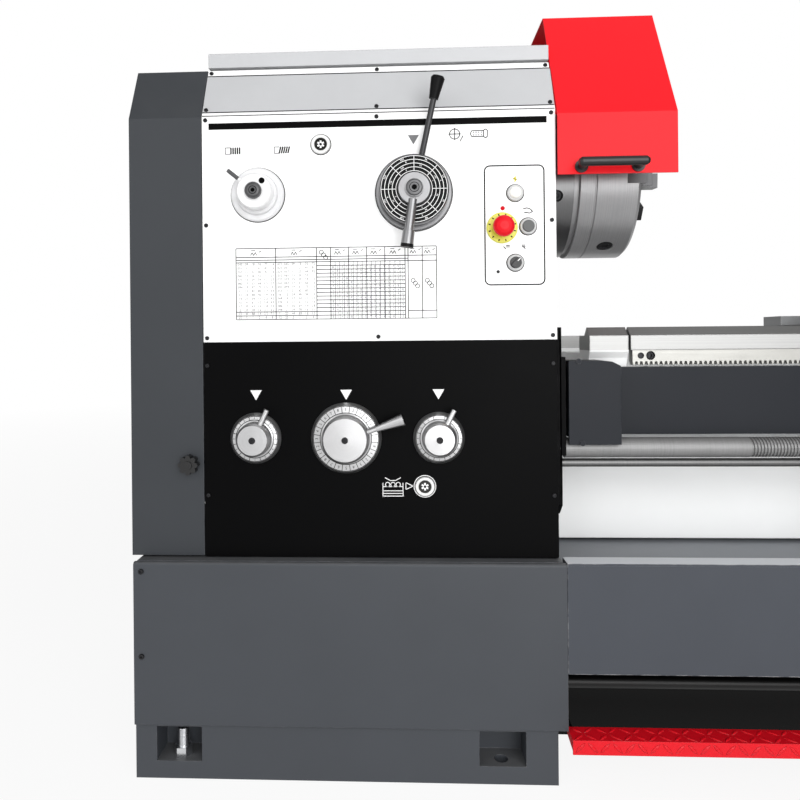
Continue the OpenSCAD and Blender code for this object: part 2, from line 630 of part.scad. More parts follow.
module spindle() {
  b = spindle_bore / 2;
  color([0.6, 0.6, 0.61]) difference() {
    turned_x(axis_z) polygon([[hx0 + 4, b], [hx0 + 4, 70], [hx1 + 2, 70], [hx1 + 2, nose_r - 8], [hx1 + 8, nose_r],
      [nose_x, nose_r], [nose_x, b]]);
    for (k = [0:5]) translate([hx1 + 24, 0, axis_z]) rotate([k * 60 + 48, 0, 0]) {
      translate([0, 0, nose_r - 9]) cylinder(h = 20, r = 12);
      translate([-5, -5, nose_r - 20]) cube([10, 10, 20]);
    }
  }
}
jaw_turns = [94, 214, 334];
module chuck_body() {
  color([0.5, 0.5, 0.51]) difference() {
    turned_x(axis_z) polygon([[nose_x, spindle_bore / 2 + 1], [nose_x, chuck_r - 9], [chuck_x0, chuck_r - 9], [chuck_x0, chuck_r - 1],
      [chuck_x0 + 1, chuck_r], [chuck_x0 + 30, chuck_r], [chuck_x0 + 31, chuck_r - 2], [chuck_x0 + 33, chuck_r - 2],
      [chuck_x0 + 34, chuck_r], [chuck_x1 - 7, chuck_r], [chuck_x1, chuck_r - 7], [chuck_x1, spindle_bore / 2 + 1]]);
    for (t = jaw_turns) translate([0, 0, axis_z]) rotate([t, 0, 0])
      slab(chuck_x1 - 30, chuck_x1 + 1, -jaw_width / 2 - 0.15, jaw_width / 2 + 0.15, 0, chuck_r + 5);
    for (t = jaw_turns) translate([chuck_x0 + 70, 0, axis_z]) rotate([t + 180, 0, 0]) {
      translate([0, 0, chuck_r - 4]) cylinder(h = 20, r = 17);
      translate([-8, -8, chuck_r - 30]) cube([16, 16, 40]);
    }
  }
}
// Stepped jaw in its radial slot
module chuck_jaw(t) {
  w = jaw_width / 2;
  color([0.55, 0.55, 0.56]) translate([0, 0, axis_z]) rotate([t, 0, 0])
    along_y(-w, w) polygon([[chuck_x1 - 29.7, 44], [chuck_x1 + 57, 44], [chuck_x1 + 57, 76], [chuck_x1 + 34, 76],
      [chuck_x1 + 34, 112], [chuck_x1 + 11, 112], [chuck_x1 + 11, chuck_r - 8], [chuck_x1 - 29.7, chuck_r - 8]]);
}
module chuck_jaw_1() { chuck_jaw(jaw_turns[0]); }
module chuck_jaw_2() { chuck_jaw(jaw_turns[1]); }
module chuck_jaw_3() { chuck_jaw(jaw_turns[2]); }
module chuck_guard() {
  y0 = fy - 12;
  color([0.8, 0.05, 0.07]) difference() {
    union() {
      along_x(guard_x0, guard_x1) difference() {
        polygon([[y0, guard_low], [y0, guard_fold], [-132, guard_top], [188, guard_top], [188, hinge_p[1]],
          [180, hinge_p[1]], [180, guard_low]]);
        polygon([[y0 + 3, guard_low - 1], [y0 + 3, guard_fold - 1], [-130.4, guard_top - 3], [185, guard_top - 3],
          [185, guard_low - 1]]);
      }
      rod_x(guard_x0, guard_x1, hinge_p[0], hinge_p[1], 18);
    }
    rod_x(guard_x0 - 1, guard_x1 + 1, hinge_p[0], hinge_p[1], 12 + run);
  }
}
module guard_handle() {
  y0 = fy - 12;
  z = guard_low + 17;
  xs = [guard_x0 + 32, guard_x0 + 158];
  color([0.03, 0.03, 0.03]) {
    for (x = [xs[0] + 11, xs[1] - 11]) {
      rod_y(y0 - 30, y0, x, z - 3, 7);
      rod_y(y0 - 4, y0, x, z - 3, 12);
    }
    rod_x(xs[0] + 5, xs[1] - 5, y0 - 30, z - 1, 8.5);
    rod_x(xs[0], xs[0] + 5, y0 - 30, z - 1, 5, 8.5);
    rod_x(xs[1] - 5, xs[1], y0 - 30, z - 1, 8.5, 5);
  }
}

// Controls

// Drum of the speed dial with its hub and lever
module speed_dial() {
  color([0.05, 0.05, 0.06]) {
    turned_y(dial_p) polygon([[0, 18.5], [speed_dial_r, 18.5], [speed_dial_r, 34.5], [speed_dial_r - 2, 37],
      [31, 37], [29, 46], [17, 46], [17, 51], [0, 51]]);
    rod_y(fy - 19, fy + 30, dial_p[0], dial_p[1], 15);
    translate([dial_p[0], fy - 42, dial_p[1]]) rotate([0, 187.7, 0]) {
      translate([0, 0, 20]) cylinder(h = 65, r = 8.5);
      translate([0, 0, 78]) cylinder(h = 31, r1 = 11, r2 = 12);
    }
  }
}
// Range lever, turning on the dial's shaft between flange and drum
module range_lever() {
  color([0.25, 0.25, 0.27]) {
    turned_y(dial_p) polygon([[15 + run, 6.5], [60, 6.5], [60, 18], [15 + run, 18]]);
    translate([dial_p[0], fy - 12.25, dial_p[1]]) rotate([0, 12.6, 0]) {
      translate([0, 0, 50]) cylinder(h = 24, r = 5.4);
      translate([0, 0, 72]) rotate([10, 0, 0]) {
        cylinder(h = range_lever_length - 112, r = 5.6);
        translate([0, 0, range_lever_length - 114]) cylinder(h = 38, r1 = 8.5, r2 = 13);
        translate([0, 0, range_lever_length - 76]) cylinder(h = 4, r1 = 13, r2 = 10);
      }
    }
  }
}
module thread_hand_knob() {
  color([0.6, 0.61, 0.62]) {
    turned_y(hub_p) polygon([[0, 16.5], [33, 16.5], [33, 39], [30.5, 42], [15.5, 42], [15.5, 48], [0, 48]]);
    rod_y(fy - 17, fy + 30, hub_p[0], hub_p[1], 10);
    translate([hub_p[0], fy - 34, hub_p[1]]) rotate([0, -51, 0]) translate([0, 0, 26]) cylinder(h = 38, r = 3.8);
  }
}
// Gearbox dial: graduated skirt, domed cap and shaft
module gear_dial(x, r, cap) {
  turned_y([x, dial_z]) polygon([[0, 0.6], [r, 0.6], [r, 6], [r - 5, 14], [cap + 4, 15.5], [cap + 1, 17],
    [cap, 20], [cap, 35], [cap - 4, 40], [0, 41]]);
  rod_y(fy - 1, fy + 40, x, dial_z, 10);
}
// A round handle standing out of a dial at an angle to the right of upright
module dial_handle(x, turn, r0, r1, a, b) {
  translate([x, fy - 29, dial_z]) rotate([0, turn, 0]) translate([0, 0, r0]) cylinder(h = r1 - r0, r1 = a, r2 = b);
}
module gear_dial_left() {
  color([0.7, 0.7, 0.7]) {
    gear_dial(dials_x[0], small_dial_r, 31.5);
    dial_handle(dials_x[0], 25, 24, 62, 6, 5);
  }
}
module gear_dial_middle() {
  color([0.7, 0.7, 0.7]) {
    gear_dial(dials_x[1], middle_dial_r, 44);
    dial_handle(dials_x[1], 71, 30, 62, 5, 5);
    dial_handle(dials_x[1], 71, 61, 114, 5.5, 11.5);
  }
}
module gear_dial_right() {
  color([0.7, 0.7, 0.7]) {
    gear_dial(dials_x[2], small_dial_r, 31.5);
    dial_handle(dials_x[2], 27, 24, 61, 6, 5);
  }
}
module estop_button() {
  r = estop_dia / 2;
  color([0.8, 0.06, 0.08]) turned_y(estop_p) polygon([[0, -5], [11, -5], [11, 22], [r - 1, 22], [r, 26], [r - 1.5, 31],
    [r - 6, 35], [r - 12, 37], [0, 37.5]]);
}
module jog_button() {
  color([0.35, 0.36, 0.36]) turned_y(jog_p) polygon([[0, -4], [11, -4], [11, 9], [10, 10], [0, 10]]);
}
module selector_knob() {
  color([0.05, 0.05, 0.05]) {
    turned_y(select_p) polygon([[0, -4], [11, -4], [11, 8], [0, 8]]);
    along_y(fy - 20, fy - 7) translate(select_p) rotate(45) round_box(-10, 10, -3.5, 3.5, 3);
  }
}

// Leadscrew and feed rod

module leadscrew() {
  color([0.62, 0.62, 0.63]) {
    rod_x(hx1 + 15.5, tail_x1 - 60.5, screw_y, screw_z, leadscrew_dia / 2);
    rod_x(hx1 - 55, hx1 + 16, screw_y, screw_z, 15);
    rod_x(tail_x1 - 61, tail_x1 - 8, screw_y, screw_z, 15);
  }
}
module feed_rod() {
  color([0.3, 0.3, 0.31]) difference() {
    rod_x(hx1 - 55, tail_x1 - 8, screw_y, rod_z, feed_rod_dia / 2);
    slab(hx1 + 30, tail_x1 - 80, screw_y - 2, screw_y + 2, rod_z + feed_rod_dia / 2 - 2.5, rod_z + feed_rod_dia);
  }
}

// Carriage

dove_z = way_height + 50;
module saddle() {
  s = slip;
  k = s * vee_half / vee_height;
  color([0.3, 0.31, 0.33]) difference() {
    union() {
      along_x(car_x - car_half, car_x + car_half) {
        polygon([[-330, way_height + s], [vee_y - vee_half - k + s, way_height + s],
          [vee_y, way_height + vee_height + 2 * s], [vee_y + vee_half + k - s, way_height + s],
          [-rail_in - 30, way_height + s], [-rail_in - 30, way_height + 42], [-330, way_height + 42]]);
        polygon([[inner_vee_y + inner_vee_half + 4, way_height + s], [rail_out + 10, way_height + s],
          [rail_out + 10, way_height + 42], [inner_vee_y - 10, way_height + 42],
          [inner_vee_y - 10, way_height + inner_vee_height + 8],
          [inner_vee_y + inner_vee_half + 4, way_height + inner_vee_height + 8]]);
      }
      slab(car_x - 115, car_x + 115, -330, rail_out + 10, way_height + 22, dove_z);
      along_y(-325, rail_out + 5) polygon([[car_x - 60, dove_z - 1], [car_x + 60, dove_z - 1], [car_x + 72, dove_z + 18],
        [car_x - 72, dove_z + 18]]);
    }
    rod_y(-331, -290, car_x, way_height + 36, 10 + run);
  }
}
module apron() {
  x0 = car_x - 185;
  x1 = car_x + 185;
  hw = [car_x - 115, way_height - 130];
  color([0.06, 0.06, 0.07]) difference() {
    along_y(-330, -200) round_box(x0, x1, rod_z - 40, way_height + slip, 12);
    rod_x(x0 - 1, x1 + 1, screw_y, screw_z, leadscrew_dia / 2 + 0.6);
    rod_x(x0 - 1, x1 + 1, screw_y, rod_z, feed_rod_dia / 2 + 0.6);
    rod_y(-331, -280, hw[0], hw[1], 15 + run);
    rod_y(-331, -290, car_x + 120, way_height - 170, 10 + run);
  }
}
// Rim, web and crank of a handwheel on an axis along Y
module wheel_y(p, y1, r) {
  rim = r * 0.11;
  turned_y(p, y1) polygon([[0, 0], [r * 0.24, 0], [r * 0.24, 12], [r - 2 * rim, 16], [r - rim, 12], [r, 14],
    [r, 24], [r - rim, 28], [r - 2 * rim, 24], [r * 0.24, 24], [r * 0.24, 34], [0, 34]]);
  rod_y(y1 - 95, y1 - 22, p[0] + r * 0.86, p[1], 10, 7);
}
module apron_handwheel() {
  p = [car_x - 115, way_height - 130];
  color([0.62, 0.62, 0.63]) {
    wheel_y(p, -345, handwheel_r);
    rod_y(-346, -282, p[0], p[1], 15);
    rod_y(-345, -330.2, p[0], p[1], 34);
  }
}
module half_nut_lever() {
  p = [car_x + 120, way_height - 170];
  color([0.1, 0.1, 0.1]) {
    rod_y(-360, -292, p[0], p[1], 10);
    rod_y(-358, -330.2, p[0], p[1], 24);
    translate([p[0], -346, p[1]]) rotate([0, 40, 0]) {
      translate([0, 0, 18]) cylinder(h = 100, r = 7);
      translate([0, 0, 125]) sphere(15);
    }
  }
}
module cross_slide() {
  z0 = dove_z + slip;
  color([0.32, 0.33, 0.35]) {
    difference() {
      slab(car_x - 100, car_x + 100, -190, 170, z0, dove_z + 55);
      along_y(-191, 171) polygon([[car_x - 60.3, z0 - 1], [car_x + 60.3, z0 - 1], [car_x + 72.5, dove_z + 18 + slip],
        [car_x - 72.5, dove_z + 18 + slip]]);
    }
    rod_z(dove_z + 54, dove_z + 82, car_x, -60, 92);
    along_x(car_x - 130, car_x + 108) polygon([[-120, dove_z + 80], [0, dove_z + 80], [0, dove_z + 112],
      [-26, dove_z + 112], [-16, dove_z + 132], [-104, dove_z + 132], [-94, dove_z + 112], [-120, dove_z + 112]]);
  }
}
module cross_handle() {
  p = [car_x, way_height + 36];
  color([0.62, 0.62, 0.63]) {
    rod_y(-372, -292, p[0], p[1], 10);
    rod_y(-350, -330.2, p[0], p[1], 28);
    wheel_y(p, -352, 66);
  }
}
top_z = dove_z + 112 + slip;
module top_slide() {
  color([0.3, 0.31, 0.33]) difference() {
    slab(car_x - 150, car_x + 140, -120, 0, top_z, dove_z + 182);
    along_x(car_x - 151, car_x + 141) polygon([[-26.3 + 0.5, top_z - 1], [-15.5, dove_z + 132 + slip],
      [-104.5, dove_z + 132 + slip], [-94.2, top_z - 1]]);
    rod_x(car_x + 100, car_x + 141, -60, dove_z + 158, 9 + run);
    rod_z(dove_z + 140, dove_z + 183, car_x - 85, -60, 20 + run);
  }
}
module top_handle() {
  z = dove_z + 158;
  color([0.62, 0.62, 0.63]) {
    rod_x(car_x + 102, car_x + 168, -60, z, 9);
    rod_x(car_x + 140.2, car_x + 158, -60, z, 24);
    turned_x(z, -60) polygon([[car_x + 164, 0], [car_x + 164, 50], [car_x + 176, 50], [car_x + 176, 0]]);
    rod_x(car_x + 175, car_x + 225, -60, z + 40, 6, 9);
  }
}
// Four-way tool post with its clamping handle
module tool_post() {
  x = car_x - 85;
  z0 = dove_z + 182 + slip;
  z1 = z0 + 118;
  color([0.2, 0.2, 0.21]) {
    difference() {
      slab(x - 60, x + 60, -120, 0, z0, z1);
      for (t = [0:3]) translate([x, -60, 0]) rotate(t * 90) slab(-61, 61, -61, -34, z0 + 50, z0 + 88);
    }
    rod_z(dove_z + 142, z0 + 1, x, -60, 20);
    rod_z(z1 - 1, z1 + 34, x, -60, 30);
    translate([x, -60, z1 + 22]) rotate([0, 68, 150]) {
      cylinder(h = 150, r = 8);
      translate([0, 0, 155]) sphere(17);
    }
    for (t = [0:3]) for (s = [-36, 36]) translate([x, -60, 0]) rotate(t * 90) rod_z(z0 + 80, z1 + 14, s, -47, 7);
  }
}

// Tailstock

module tailstock() {
  s = slip;
  x0 = tail_x;
  x1 = tail_x + 310;
  color([0.8, 0.81, 0.81]) difference() {
    union() {
      along_x(x0, x1) polygon([[-150, way_height + s], [inner_vee_y - inner_vee_half - s, way_height + s],
        [inner_vee_y, way_height + inner_vee_height + 2 * s], [inner_vee_y + inner_vee_half + s, way_height + s],
        [186, way_height + s], [186, way_height + 60], [95, way_height + 80], [82, axis_z], [-82, axis_z],
        [-95, way_height + 80], [-150, way_height + 60]]);
      rod_x(x0 - 8, x1 + 10, 0, axis_z, 86);
      rod_z(axis_z + 60, axis_z + 112, x0 + 60, 0, 18);
      translate([x0 + 60, 0, axis_z + 104]) rotate([0, 60, -60]) {
        cylinder(h = 95, r = 7);
        translate([0, 0, 100]) sphere(14);
      }
    }
    rod_x(x0 - 20, x0 + 240, 0, axis_z, quill_dia / 2 + run);
    rod_x(x0 + 230, x1 + 20, 0, axis_z, 14 + run);
  }
}
module quill() {
  color([0.66, 0.66, 0.67]) {
    rod_x(tip_x + 58, tip_x + 310, 0, axis_z, quill_dia / 2);
    rod_x(tip_x, tip_x + 44, 0, axis_z, 1, 26);
    rod_x(tip_x + 43.5, tip_x + 59, 0, axis_z, 26);
  }
}
module tailstock_wheel() {
  x = tail_x + 322;
  color([0.62, 0.62, 0.63]) {
    turned_x(axis_z) polygon([[x - 90, 0], [x - 90, 14], [x - 1.7, 14], [x - 1.7, 30], [x + 10, 30], [x + 14, 84], [x + 8, 92],
      [x + 10, 104], [x + 22, 104], [x + 26, 92], [x + 22, 84], [x + 22, 30], [x + 34, 30], [x + 34, 0]]);
    rod_x(x + 20, x + 90, 88, axis_z, 7, 10);
  }
}

headstock_pedestal();
pedestal_front_cover();
tailstock_pedestal();
levelling_bolts();
chip_tray();
bed();
gap_bridge();
rack();
bed_front_cover();
coupling_cover();
gearbox_case();
gearbox_front_plate();
headstock_case();
headstock_front_panel();
headstock_slope_panel();
headstock_lid();
panel_screws();
switch_bezels();
power_lamp();
oil_sights();
selector_flanges();
drive_belts();
end_cover();
star_knob();
motor_pulley();
input_pulley();
gear_upper();
gear_idler();
gear_lower();
spindle();
chuck_body();
chuck_jaw_1();
chuck_jaw_2();
chuck_jaw_3();
chuck_guard();
guard_handle();
speed_dial();
range_lever();
thread_hand_knob();
gear_dial_left();
gear_dial_middle();
gear_dial_right();
estop_button();
jog_button();
selector_knob();
leadscrew();
feed_rod();
saddle();
apron();
apron_handwheel();
half_nut_lever();
cross_slide();
cross_handle();
top_slide();
top_handle();
tool_post();
tailstock();
quill();
tailstock_wheel();
brake_pedal();
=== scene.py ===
import json
import math

import bpy
import numpy as np
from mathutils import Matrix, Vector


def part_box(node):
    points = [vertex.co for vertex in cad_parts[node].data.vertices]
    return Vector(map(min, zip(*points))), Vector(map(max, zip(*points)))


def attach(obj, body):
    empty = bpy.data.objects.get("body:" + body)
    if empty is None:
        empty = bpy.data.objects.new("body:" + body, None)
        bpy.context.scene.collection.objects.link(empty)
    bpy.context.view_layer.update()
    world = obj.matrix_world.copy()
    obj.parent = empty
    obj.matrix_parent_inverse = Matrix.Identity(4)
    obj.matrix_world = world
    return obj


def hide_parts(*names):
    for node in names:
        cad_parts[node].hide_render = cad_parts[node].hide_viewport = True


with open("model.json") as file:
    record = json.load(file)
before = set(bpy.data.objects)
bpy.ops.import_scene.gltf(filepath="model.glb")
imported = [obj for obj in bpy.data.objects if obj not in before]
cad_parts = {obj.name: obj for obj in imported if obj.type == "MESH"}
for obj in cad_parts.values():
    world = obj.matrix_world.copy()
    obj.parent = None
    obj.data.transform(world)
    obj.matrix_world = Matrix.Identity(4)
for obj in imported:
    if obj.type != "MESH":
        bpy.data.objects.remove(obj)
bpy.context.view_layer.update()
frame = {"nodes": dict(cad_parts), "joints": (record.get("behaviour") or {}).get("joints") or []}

# Pedestals, front cover and chip tray: folded steel sheet and cast feet under a dark grey powder coat,
# bolted together on the floor. The coat is satin, with a fine orange peel and faintly rubbed edges.


def screen_colour(red, green, blue):
    """A colour as a screen shows it, 0 to 255, turned into the linear light that a shader takes."""
    share = np.array([red, green, blue]) / 255
    linear = np.where(share <= 0.04045, share / 12.92, ((share + 0.055) / 1.055) ** 2.4)
    return tuple(float(value) for value in linear) + (1.0,)


def effect_group(name, inputs, outputs):
    """An empty shader group with float inputs at their usual values, and its outputs by kind of socket."""
    group = bpy.data.node_groups.new(name, "ShaderNodeTree")
    for socket, usual in inputs.items():
        group.interface.new_socket(socket, in_out="INPUT",
                                   socket_type="NodeSocketFloat").default_value = usual
    for socket, kind in outputs.items():
        group.interface.new_socket(socket, in_out="OUTPUT", socket_type="NodeSocket" + kind)
    return group, group.nodes.new("NodeGroupInput"), group.nodes.new("NodeGroupOutput")


def join(tree, kind, values=None, links=None, **settings):
    """A new node of a tree with its settings, its constant inputs and the sockets linked to its inputs."""
    node = tree.nodes.new("ShaderNode" + kind)
    for key, value in settings.items():
        setattr(node, key, value)
    for key, value in (values or {}).items():
        node.inputs[key].default_value = value
    for key, socket in (links or {}).items():
        tree.links.new(socket, node.inputs[key])
    return node


def object_place(tree):
    """Object coordinates of the point that is shaded."""
    return join(tree, "TexCoord").outputs["Object"]


def combine(tree, operation, first, second, **settings):
    """Two values taken together by an operation."""
    return join(tree, "Math", links={0: first, 1: second}, operation=operation, **settings).outputs[0]


def compare(tree, operation, socket, limit):
    """One where a value is above or below a limit, else nought."""
    return join(tree, "Math", {1: limit}, {0: socket}, operation=operation).outputs[0]


# Cloudy shade and the small waves of sprayed paint or of a moulded skin
skin, skin_in, skin_out = effect_group("sprayed_skin", {"Cloud": 6.0, "Peel": 700.0},
                                       {"Shade": "Float", "Height": "Float"})
place = object_place(skin)
cloud = join(skin, "TexNoise", {"Detail": 5.0, "Roughness": 0.62},
             {"Vector": place, "Scale": skin_in.outputs["Cloud"]})
peel = join(skin, "TexNoise", {"Detail": 1.0}, {"Vector": place, "Scale": skin_in.outputs["Peel"]})
skin.links.new(cloud.outputs["Fac"], skin_out.inputs["Shade"])
skin.links.new(peel.outputs["Fac"], skin_out.inputs["Height"])

# Softly rounded edges: the normal bends within a radius of an edge, and the rubbed mask lies where it bends
edges, edges_in, edges_out = effect_group(
    "rubbed_edges", {"Radius": 0.002, "Amount": 1.0}, {"Rubbed": "Float", "Normal": "Vector"})
bent = join(edges, "Bevel", links={"Radius": edges_in.outputs["Radius"]}, samples=4)
flat = join(edges, "NewGeometry")
level = join(edges, "VectorMath", links={0: bent.outputs["Normal"], 1: flat.outputs["Normal"]},
             operation="DOT_PRODUCT")
turn = join(edges, "Math", {0: 1.0}, {1: level.outputs["Value"]}, operation="SUBTRACT")
rub = join(edges, "TexNoise", {"Scale": 38.0, "Detail": 6.0, "Roughness": 0.7},
           {"Vector": object_place(edges)})
patchy = join(edges, "MapRange", {"From Min": 0.42, "From Max": 0.68}, {"Value": rub.outputs["Fac"]})
rubbed = combine(edges, "MULTIPLY", turn.outputs[0], patchy.outputs["Result"])
rubbed = combine(edges, "MULTIPLY", rubbed, edges_in.outputs["Amount"], use_clamp=True)
edges.links.new(rubbed, edges_out.inputs["Rubbed"])
edges.links.new(bent.outputs["Normal"], edges_out.inputs["Normal"])

# Dust that settles on faces turned up
dust, dust_in, dust_out = effect_group("settled_dust", {"Amount": 0.3}, {"Dust": "Float"})
up = join(dust, "SeparateXYZ", links={0: join(dust, "NewGeometry").outputs["Normal"]})
drift = join(dust, "TexNoise", {"Scale": 14.0, "Detail": 6.0, "Roughness": 0.65},
             {"Vector": object_place(dust)})
facing = join(dust, "MapRange", {"From Min": 0.35, "From Max": 1.0}, {"Value": up.outputs["Z"]})
lying = combine(dust, "MULTIPLY", facing.outputs["Result"], drift.outputs["Fac"])
lying = combine(dust, "MULTIPLY", lying, dust_in.outputs["Amount"], use_clamp=True)
dust.links.new(lying, dust_out.inputs["Dust"])


def effect(tree, group, **values):
    """One effect group placed in a material with its own values."""
    node = tree.nodes.new("ShaderNodeGroup")
    node.node_tree = group
    for key, value in values.items():
        node.inputs[key].default_value = value
    return node


def blend_colour(tree, mask, first, second):
    """A colour between two, each a constant or a socket, by a mask."""
    node = join(tree, "Mix", links={0: mask}, data_type="RGBA")
    for key, colour in ((6, first), (7, second)):
        if isinstance(colour, tuple):
            node.inputs[key].default_value = colour
        else:
            tree.links.new(colour, node.inputs[key])
    return node.outputs[2]


def shaded(colour, factor):
    """A colour made lighter or darker by a factor, kept under full white."""
    return tuple(min(part * factor, 0.98) for part in colour[:3]) + (1.0,)


def cloudy(tree, mask, colour, dark, light):
    """A colour that wanders between a darker and a lighter shade of itself by a mask."""
    return blend_colour(tree, mask, shaded(colour, dark), shaded(colour, light))


def fresh_material(name, shine=0.5, metallic=0.0, coat=0.0):
    """A material with nodes, its tree and its surface shader with its shine, metal and clear coat."""
    material = bpy.data.materials.new(name)
    material.use_nodes = True
    surface = material.node_tree.nodes["Principled BSDF"]
    surface.inputs["Specular IOR Level"].default_value = shine
    surface.inputs["Metallic"].default_value = metallic
    surface.inputs["Coat Weight"].default_value = coat
    return material, material.node_tree, surface


def vary(tree, surface, socket, mask, low, high):
    """A value of a surface that goes from low to high by a mask."""
    span = join(tree, "MapRange", {"To Min": low, "To Max": high}, {"Value": mask})
    tree.links.new(span.outputs["Result"], surface.inputs[socket])


def relief(tree, surface, height, normal, distance):
    """The small relief of a surface: a height in metres on top of the softened edges."""
    bump = join(tree, "Bump", {"Strength": 1.0, "Distance": distance}, {"Height": height, "Normal": normal})
    tree.links.new(bump.outputs["Normal"], surface.inputs["Normal"])


def painted(name, colour, rough, peel=700.0, rub=1.2, dusty=0.25, shine=0.5):
    """Sprayed or baked paint: cloudy colour, orange peel, rubbed edges that show metal, a little dust."""
    material, tree, surface = fresh_material(name, shine)
    spray = effect(tree, skin, Cloud=5.0, Peel=peel)
    edge = effect(tree, edges, Radius=0.002, Amount=rub)
    film = effect(tree, dust, Amount=dusty)
    body = cloudy(tree, spray.outputs["Shade"], colour, 0.9, 1.1)
    body = blend_colour(tree, edge.outputs["Rubbed"], body, (0.34, 0.34, 0.35, 1.0))
    body = blend_colour(tree, film.outputs["Dust"], body, (0.42, 0.41, 0.39, 1.0))
    tree.links.new(body, surface.inputs["Base Color"])
    vary(tree, surface, "Roughness", spray.outputs["Shade"], rough - 0.06, rough + 0.08)
    relief(tree, surface, spray.outputs["Height"], edge.outputs["Normal"], 0.00004)
    return material


def dress(material, *nodes):
    """Gives a finish to solids of the frame."""
    for node in nodes:
        for slot in frame["nodes"][node].material_slots:
            slot.material = material


dark_grey = painted("dark_grey_powder_coat", screen_colour(60, 63, 68), 0.45, shine=0.35)
dress(dark_grey, "headstock_pedestal", "pedestal_front_cover", "tailstock_pedestal")


def tray_coat_with_painted_light(name, sheet, floor_painted_light, rim, plinth, plinth_top, rim_highlight_from):
    """The tray's grey coat, with painted light: faces turned up are painted paler, the front rim palest as a
    painted reflection, and the plinth below is painted black as painted shadow.
    """
    material, tree, surface = fresh_material(name, 0.12)
    height = join(tree, "SeparateXYZ", links={0: object_place(tree)})
    # Painted shadow: below the plinth's top the coat turns black, standing for the deep shade under the tray.
    low = compare(tree, "LESS_THAN", height.outputs["Z"], plinth_top)
    facing = join(tree, "SeparateXYZ", links={0: join(tree, "NewGeometry").outputs["Normal"]})
    facing_up_light_mask = join(tree, "MapRange", {"From Min": 0.6, "From Max": 0.95},
                      {"Value": facing.outputs["Z"]}).outputs["Result"]
    spray = effect(tree, skin, Cloud=5.0, Peel=700.0)
    edge = effect(tree, edges, Radius=0.003, Amount=4.0)
    body = cloudy(tree, spray.outputs["Shade"], sheet, 0.9, 1.1)
    # Painted light: faces turned up get a paler grey, and the front rim a paler grey still as a painted
    # reflection.
    pale = cloudy(tree, spray.outputs["Shade"], floor_painted_light, 0.85, 1.15)
    front = compare(tree, "LESS_THAN", height.outputs["Y"], rim_highlight_from)
    pale = blend_colour(tree, front, pale, rim)
    body = blend_colour(tree, facing_up_light_mask, body, pale)
    # Rubbed edges show pale bare metal, set strong enough to draw a painted highlight along the top edges.
    body = blend_colour(tree, edge.outputs["Rubbed"], body, (0.7, 0.71, 0.72, 1.0))
    tree.links.new(blend_colour(tree, low, body, plinth), surface.inputs["Base Color"])
    vary(tree, surface, "Roughness", spray.outputs["Shade"], 0.4, 0.55)
    relief(tree, surface, spray.outputs["Height"], edge.outputs["Normal"], 0.00004)
    return material


tray_panel = 0.203
tray_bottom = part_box("chip_tray")[1][2] - 0.050 - tray_panel
# The tray's coat, with painted light on its floor and rim and black painted shadow on its plinth.
dress(tray_coat_with_painted_light("chip_tray_coat_with_painted_light", screen_colour(70, 73, 79), (0.235, 0.247, 0.266, 1.0),
                  (0.64, 0.66, 0.69, 1.0), (0.002, 0.002, 0.002, 1.0), tray_bottom - 0.0005,
                  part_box("chip_tray")[0][1] + 0.0405), "chip_tray")

# Levelling bolts: zinc-plated steel studs with a nut each, standing in the pockets of the feet.
# Their threads are fine helical ridges on the bare length of each stud above its nut.


def plain_steel(name, colour, rough, along=(4.0, 4.0, 900.0), radius=0.0012, metallic=1.0):
    """Ground or plated steel: fine lines where noise is drawn out along two axes, and bright rubbed edges."""
    material, tree, surface = fresh_material(name, metallic=metallic)
    place = object_place(tree)
    drawn = join(tree, "VectorMath", {1: along}, {0: place}, operation="MULTIPLY")
    lines = join(tree, "TexNoise", {"Scale": 1.0, "Detail": 4.0, "Roughness": 0.6},
                 {"Vector": drawn.outputs[0]})
    stain = join(tree, "TexNoise", {"Scale": 16.0, "Detail": 5.0, "Roughness": 0.6}, {"Vector": place})
    edge = effect(tree, edges, Radius=radius, Amount=0.5)
    body = cloudy(tree, stain.outputs["Fac"], colour, 0.82, 1.14)
    body = blend_colour(tree, edge.outputs["Rubbed"], body, shaded(colour, 1.5))
    tree.links.new(body, surface.inputs["Base Color"])
    vary(tree, surface, "Roughness", lines.outputs["Fac"], rough - 0.1, rough + 0.12)
    relief(tree, surface, lines.outputs["Fac"], edge.outputs["Normal"], 0.00003)
    return material


def piece(name, shapes, material, body):
    """One piece made of several shapes, each an array of corners and a list of faces, riding on a body."""
    vertices = np.concatenate([np.asarray(points, float) for points, faces in shapes])
    starts = np.cumsum([0] + [len(points) for points, faces in shapes])
    polygons = [[start + int(i) for i in face] for start, (points, faces) in zip(starts, shapes)
                for face in faces]
    mesh = bpy.data.meshes.new(name)
    mesh.from_pydata(vertices.tolist(), [], polygons)
    mesh.materials.append(material)
    made = bpy.data.objects.new(name, mesh)
    bpy.context.scene.collection.objects.link(made)
    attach(made, body)
    return made


def grid_faces(rows, columns, wrap):
    """Four-sided faces over a grid of points, the last column joined to the first where it wraps."""
    i, j = np.meshgrid(np.arange(rows - 1), np.arange(columns if wrap else columns - 1), indexing="ij")
    k = (j + 1) % columns
    return np.stack([i * columns + j, i * columns + k, (i + 1) * columns + k, (i + 1) * columns + j],
                    -1).reshape(-1, 4)


def thread(axis_point, start, end, root, crest, pitch, steps=20):
    """A helical ridge on an upright stud: root, crest, crest and root, rising by one pitch per turn."""
    turns = np.linspace(0, (end - start) / pitch - 1, int(((end - start) / pitch - 1) * steps))
    angle = turns[:, None] * 2 * np.pi
    radius = np.array([root, crest, crest, root])[None]
    rise = np.array([0.0, 0.35, 0.5, 0.85])[None]
    height = start + (turns[:, None] + rise) * pitch
    points = np.stack([axis_point[0] + radius * np.cos(angle), axis_point[1] + radius * np.sin(angle),
                       height], -1)
    return points.reshape(-1, 3), grid_faces(len(turns), 4, True)[:, ::-1].tolist()


def corners(node):
    """The low and the high corner of a solid's box."""
    return [np.array(corner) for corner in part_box(node)]


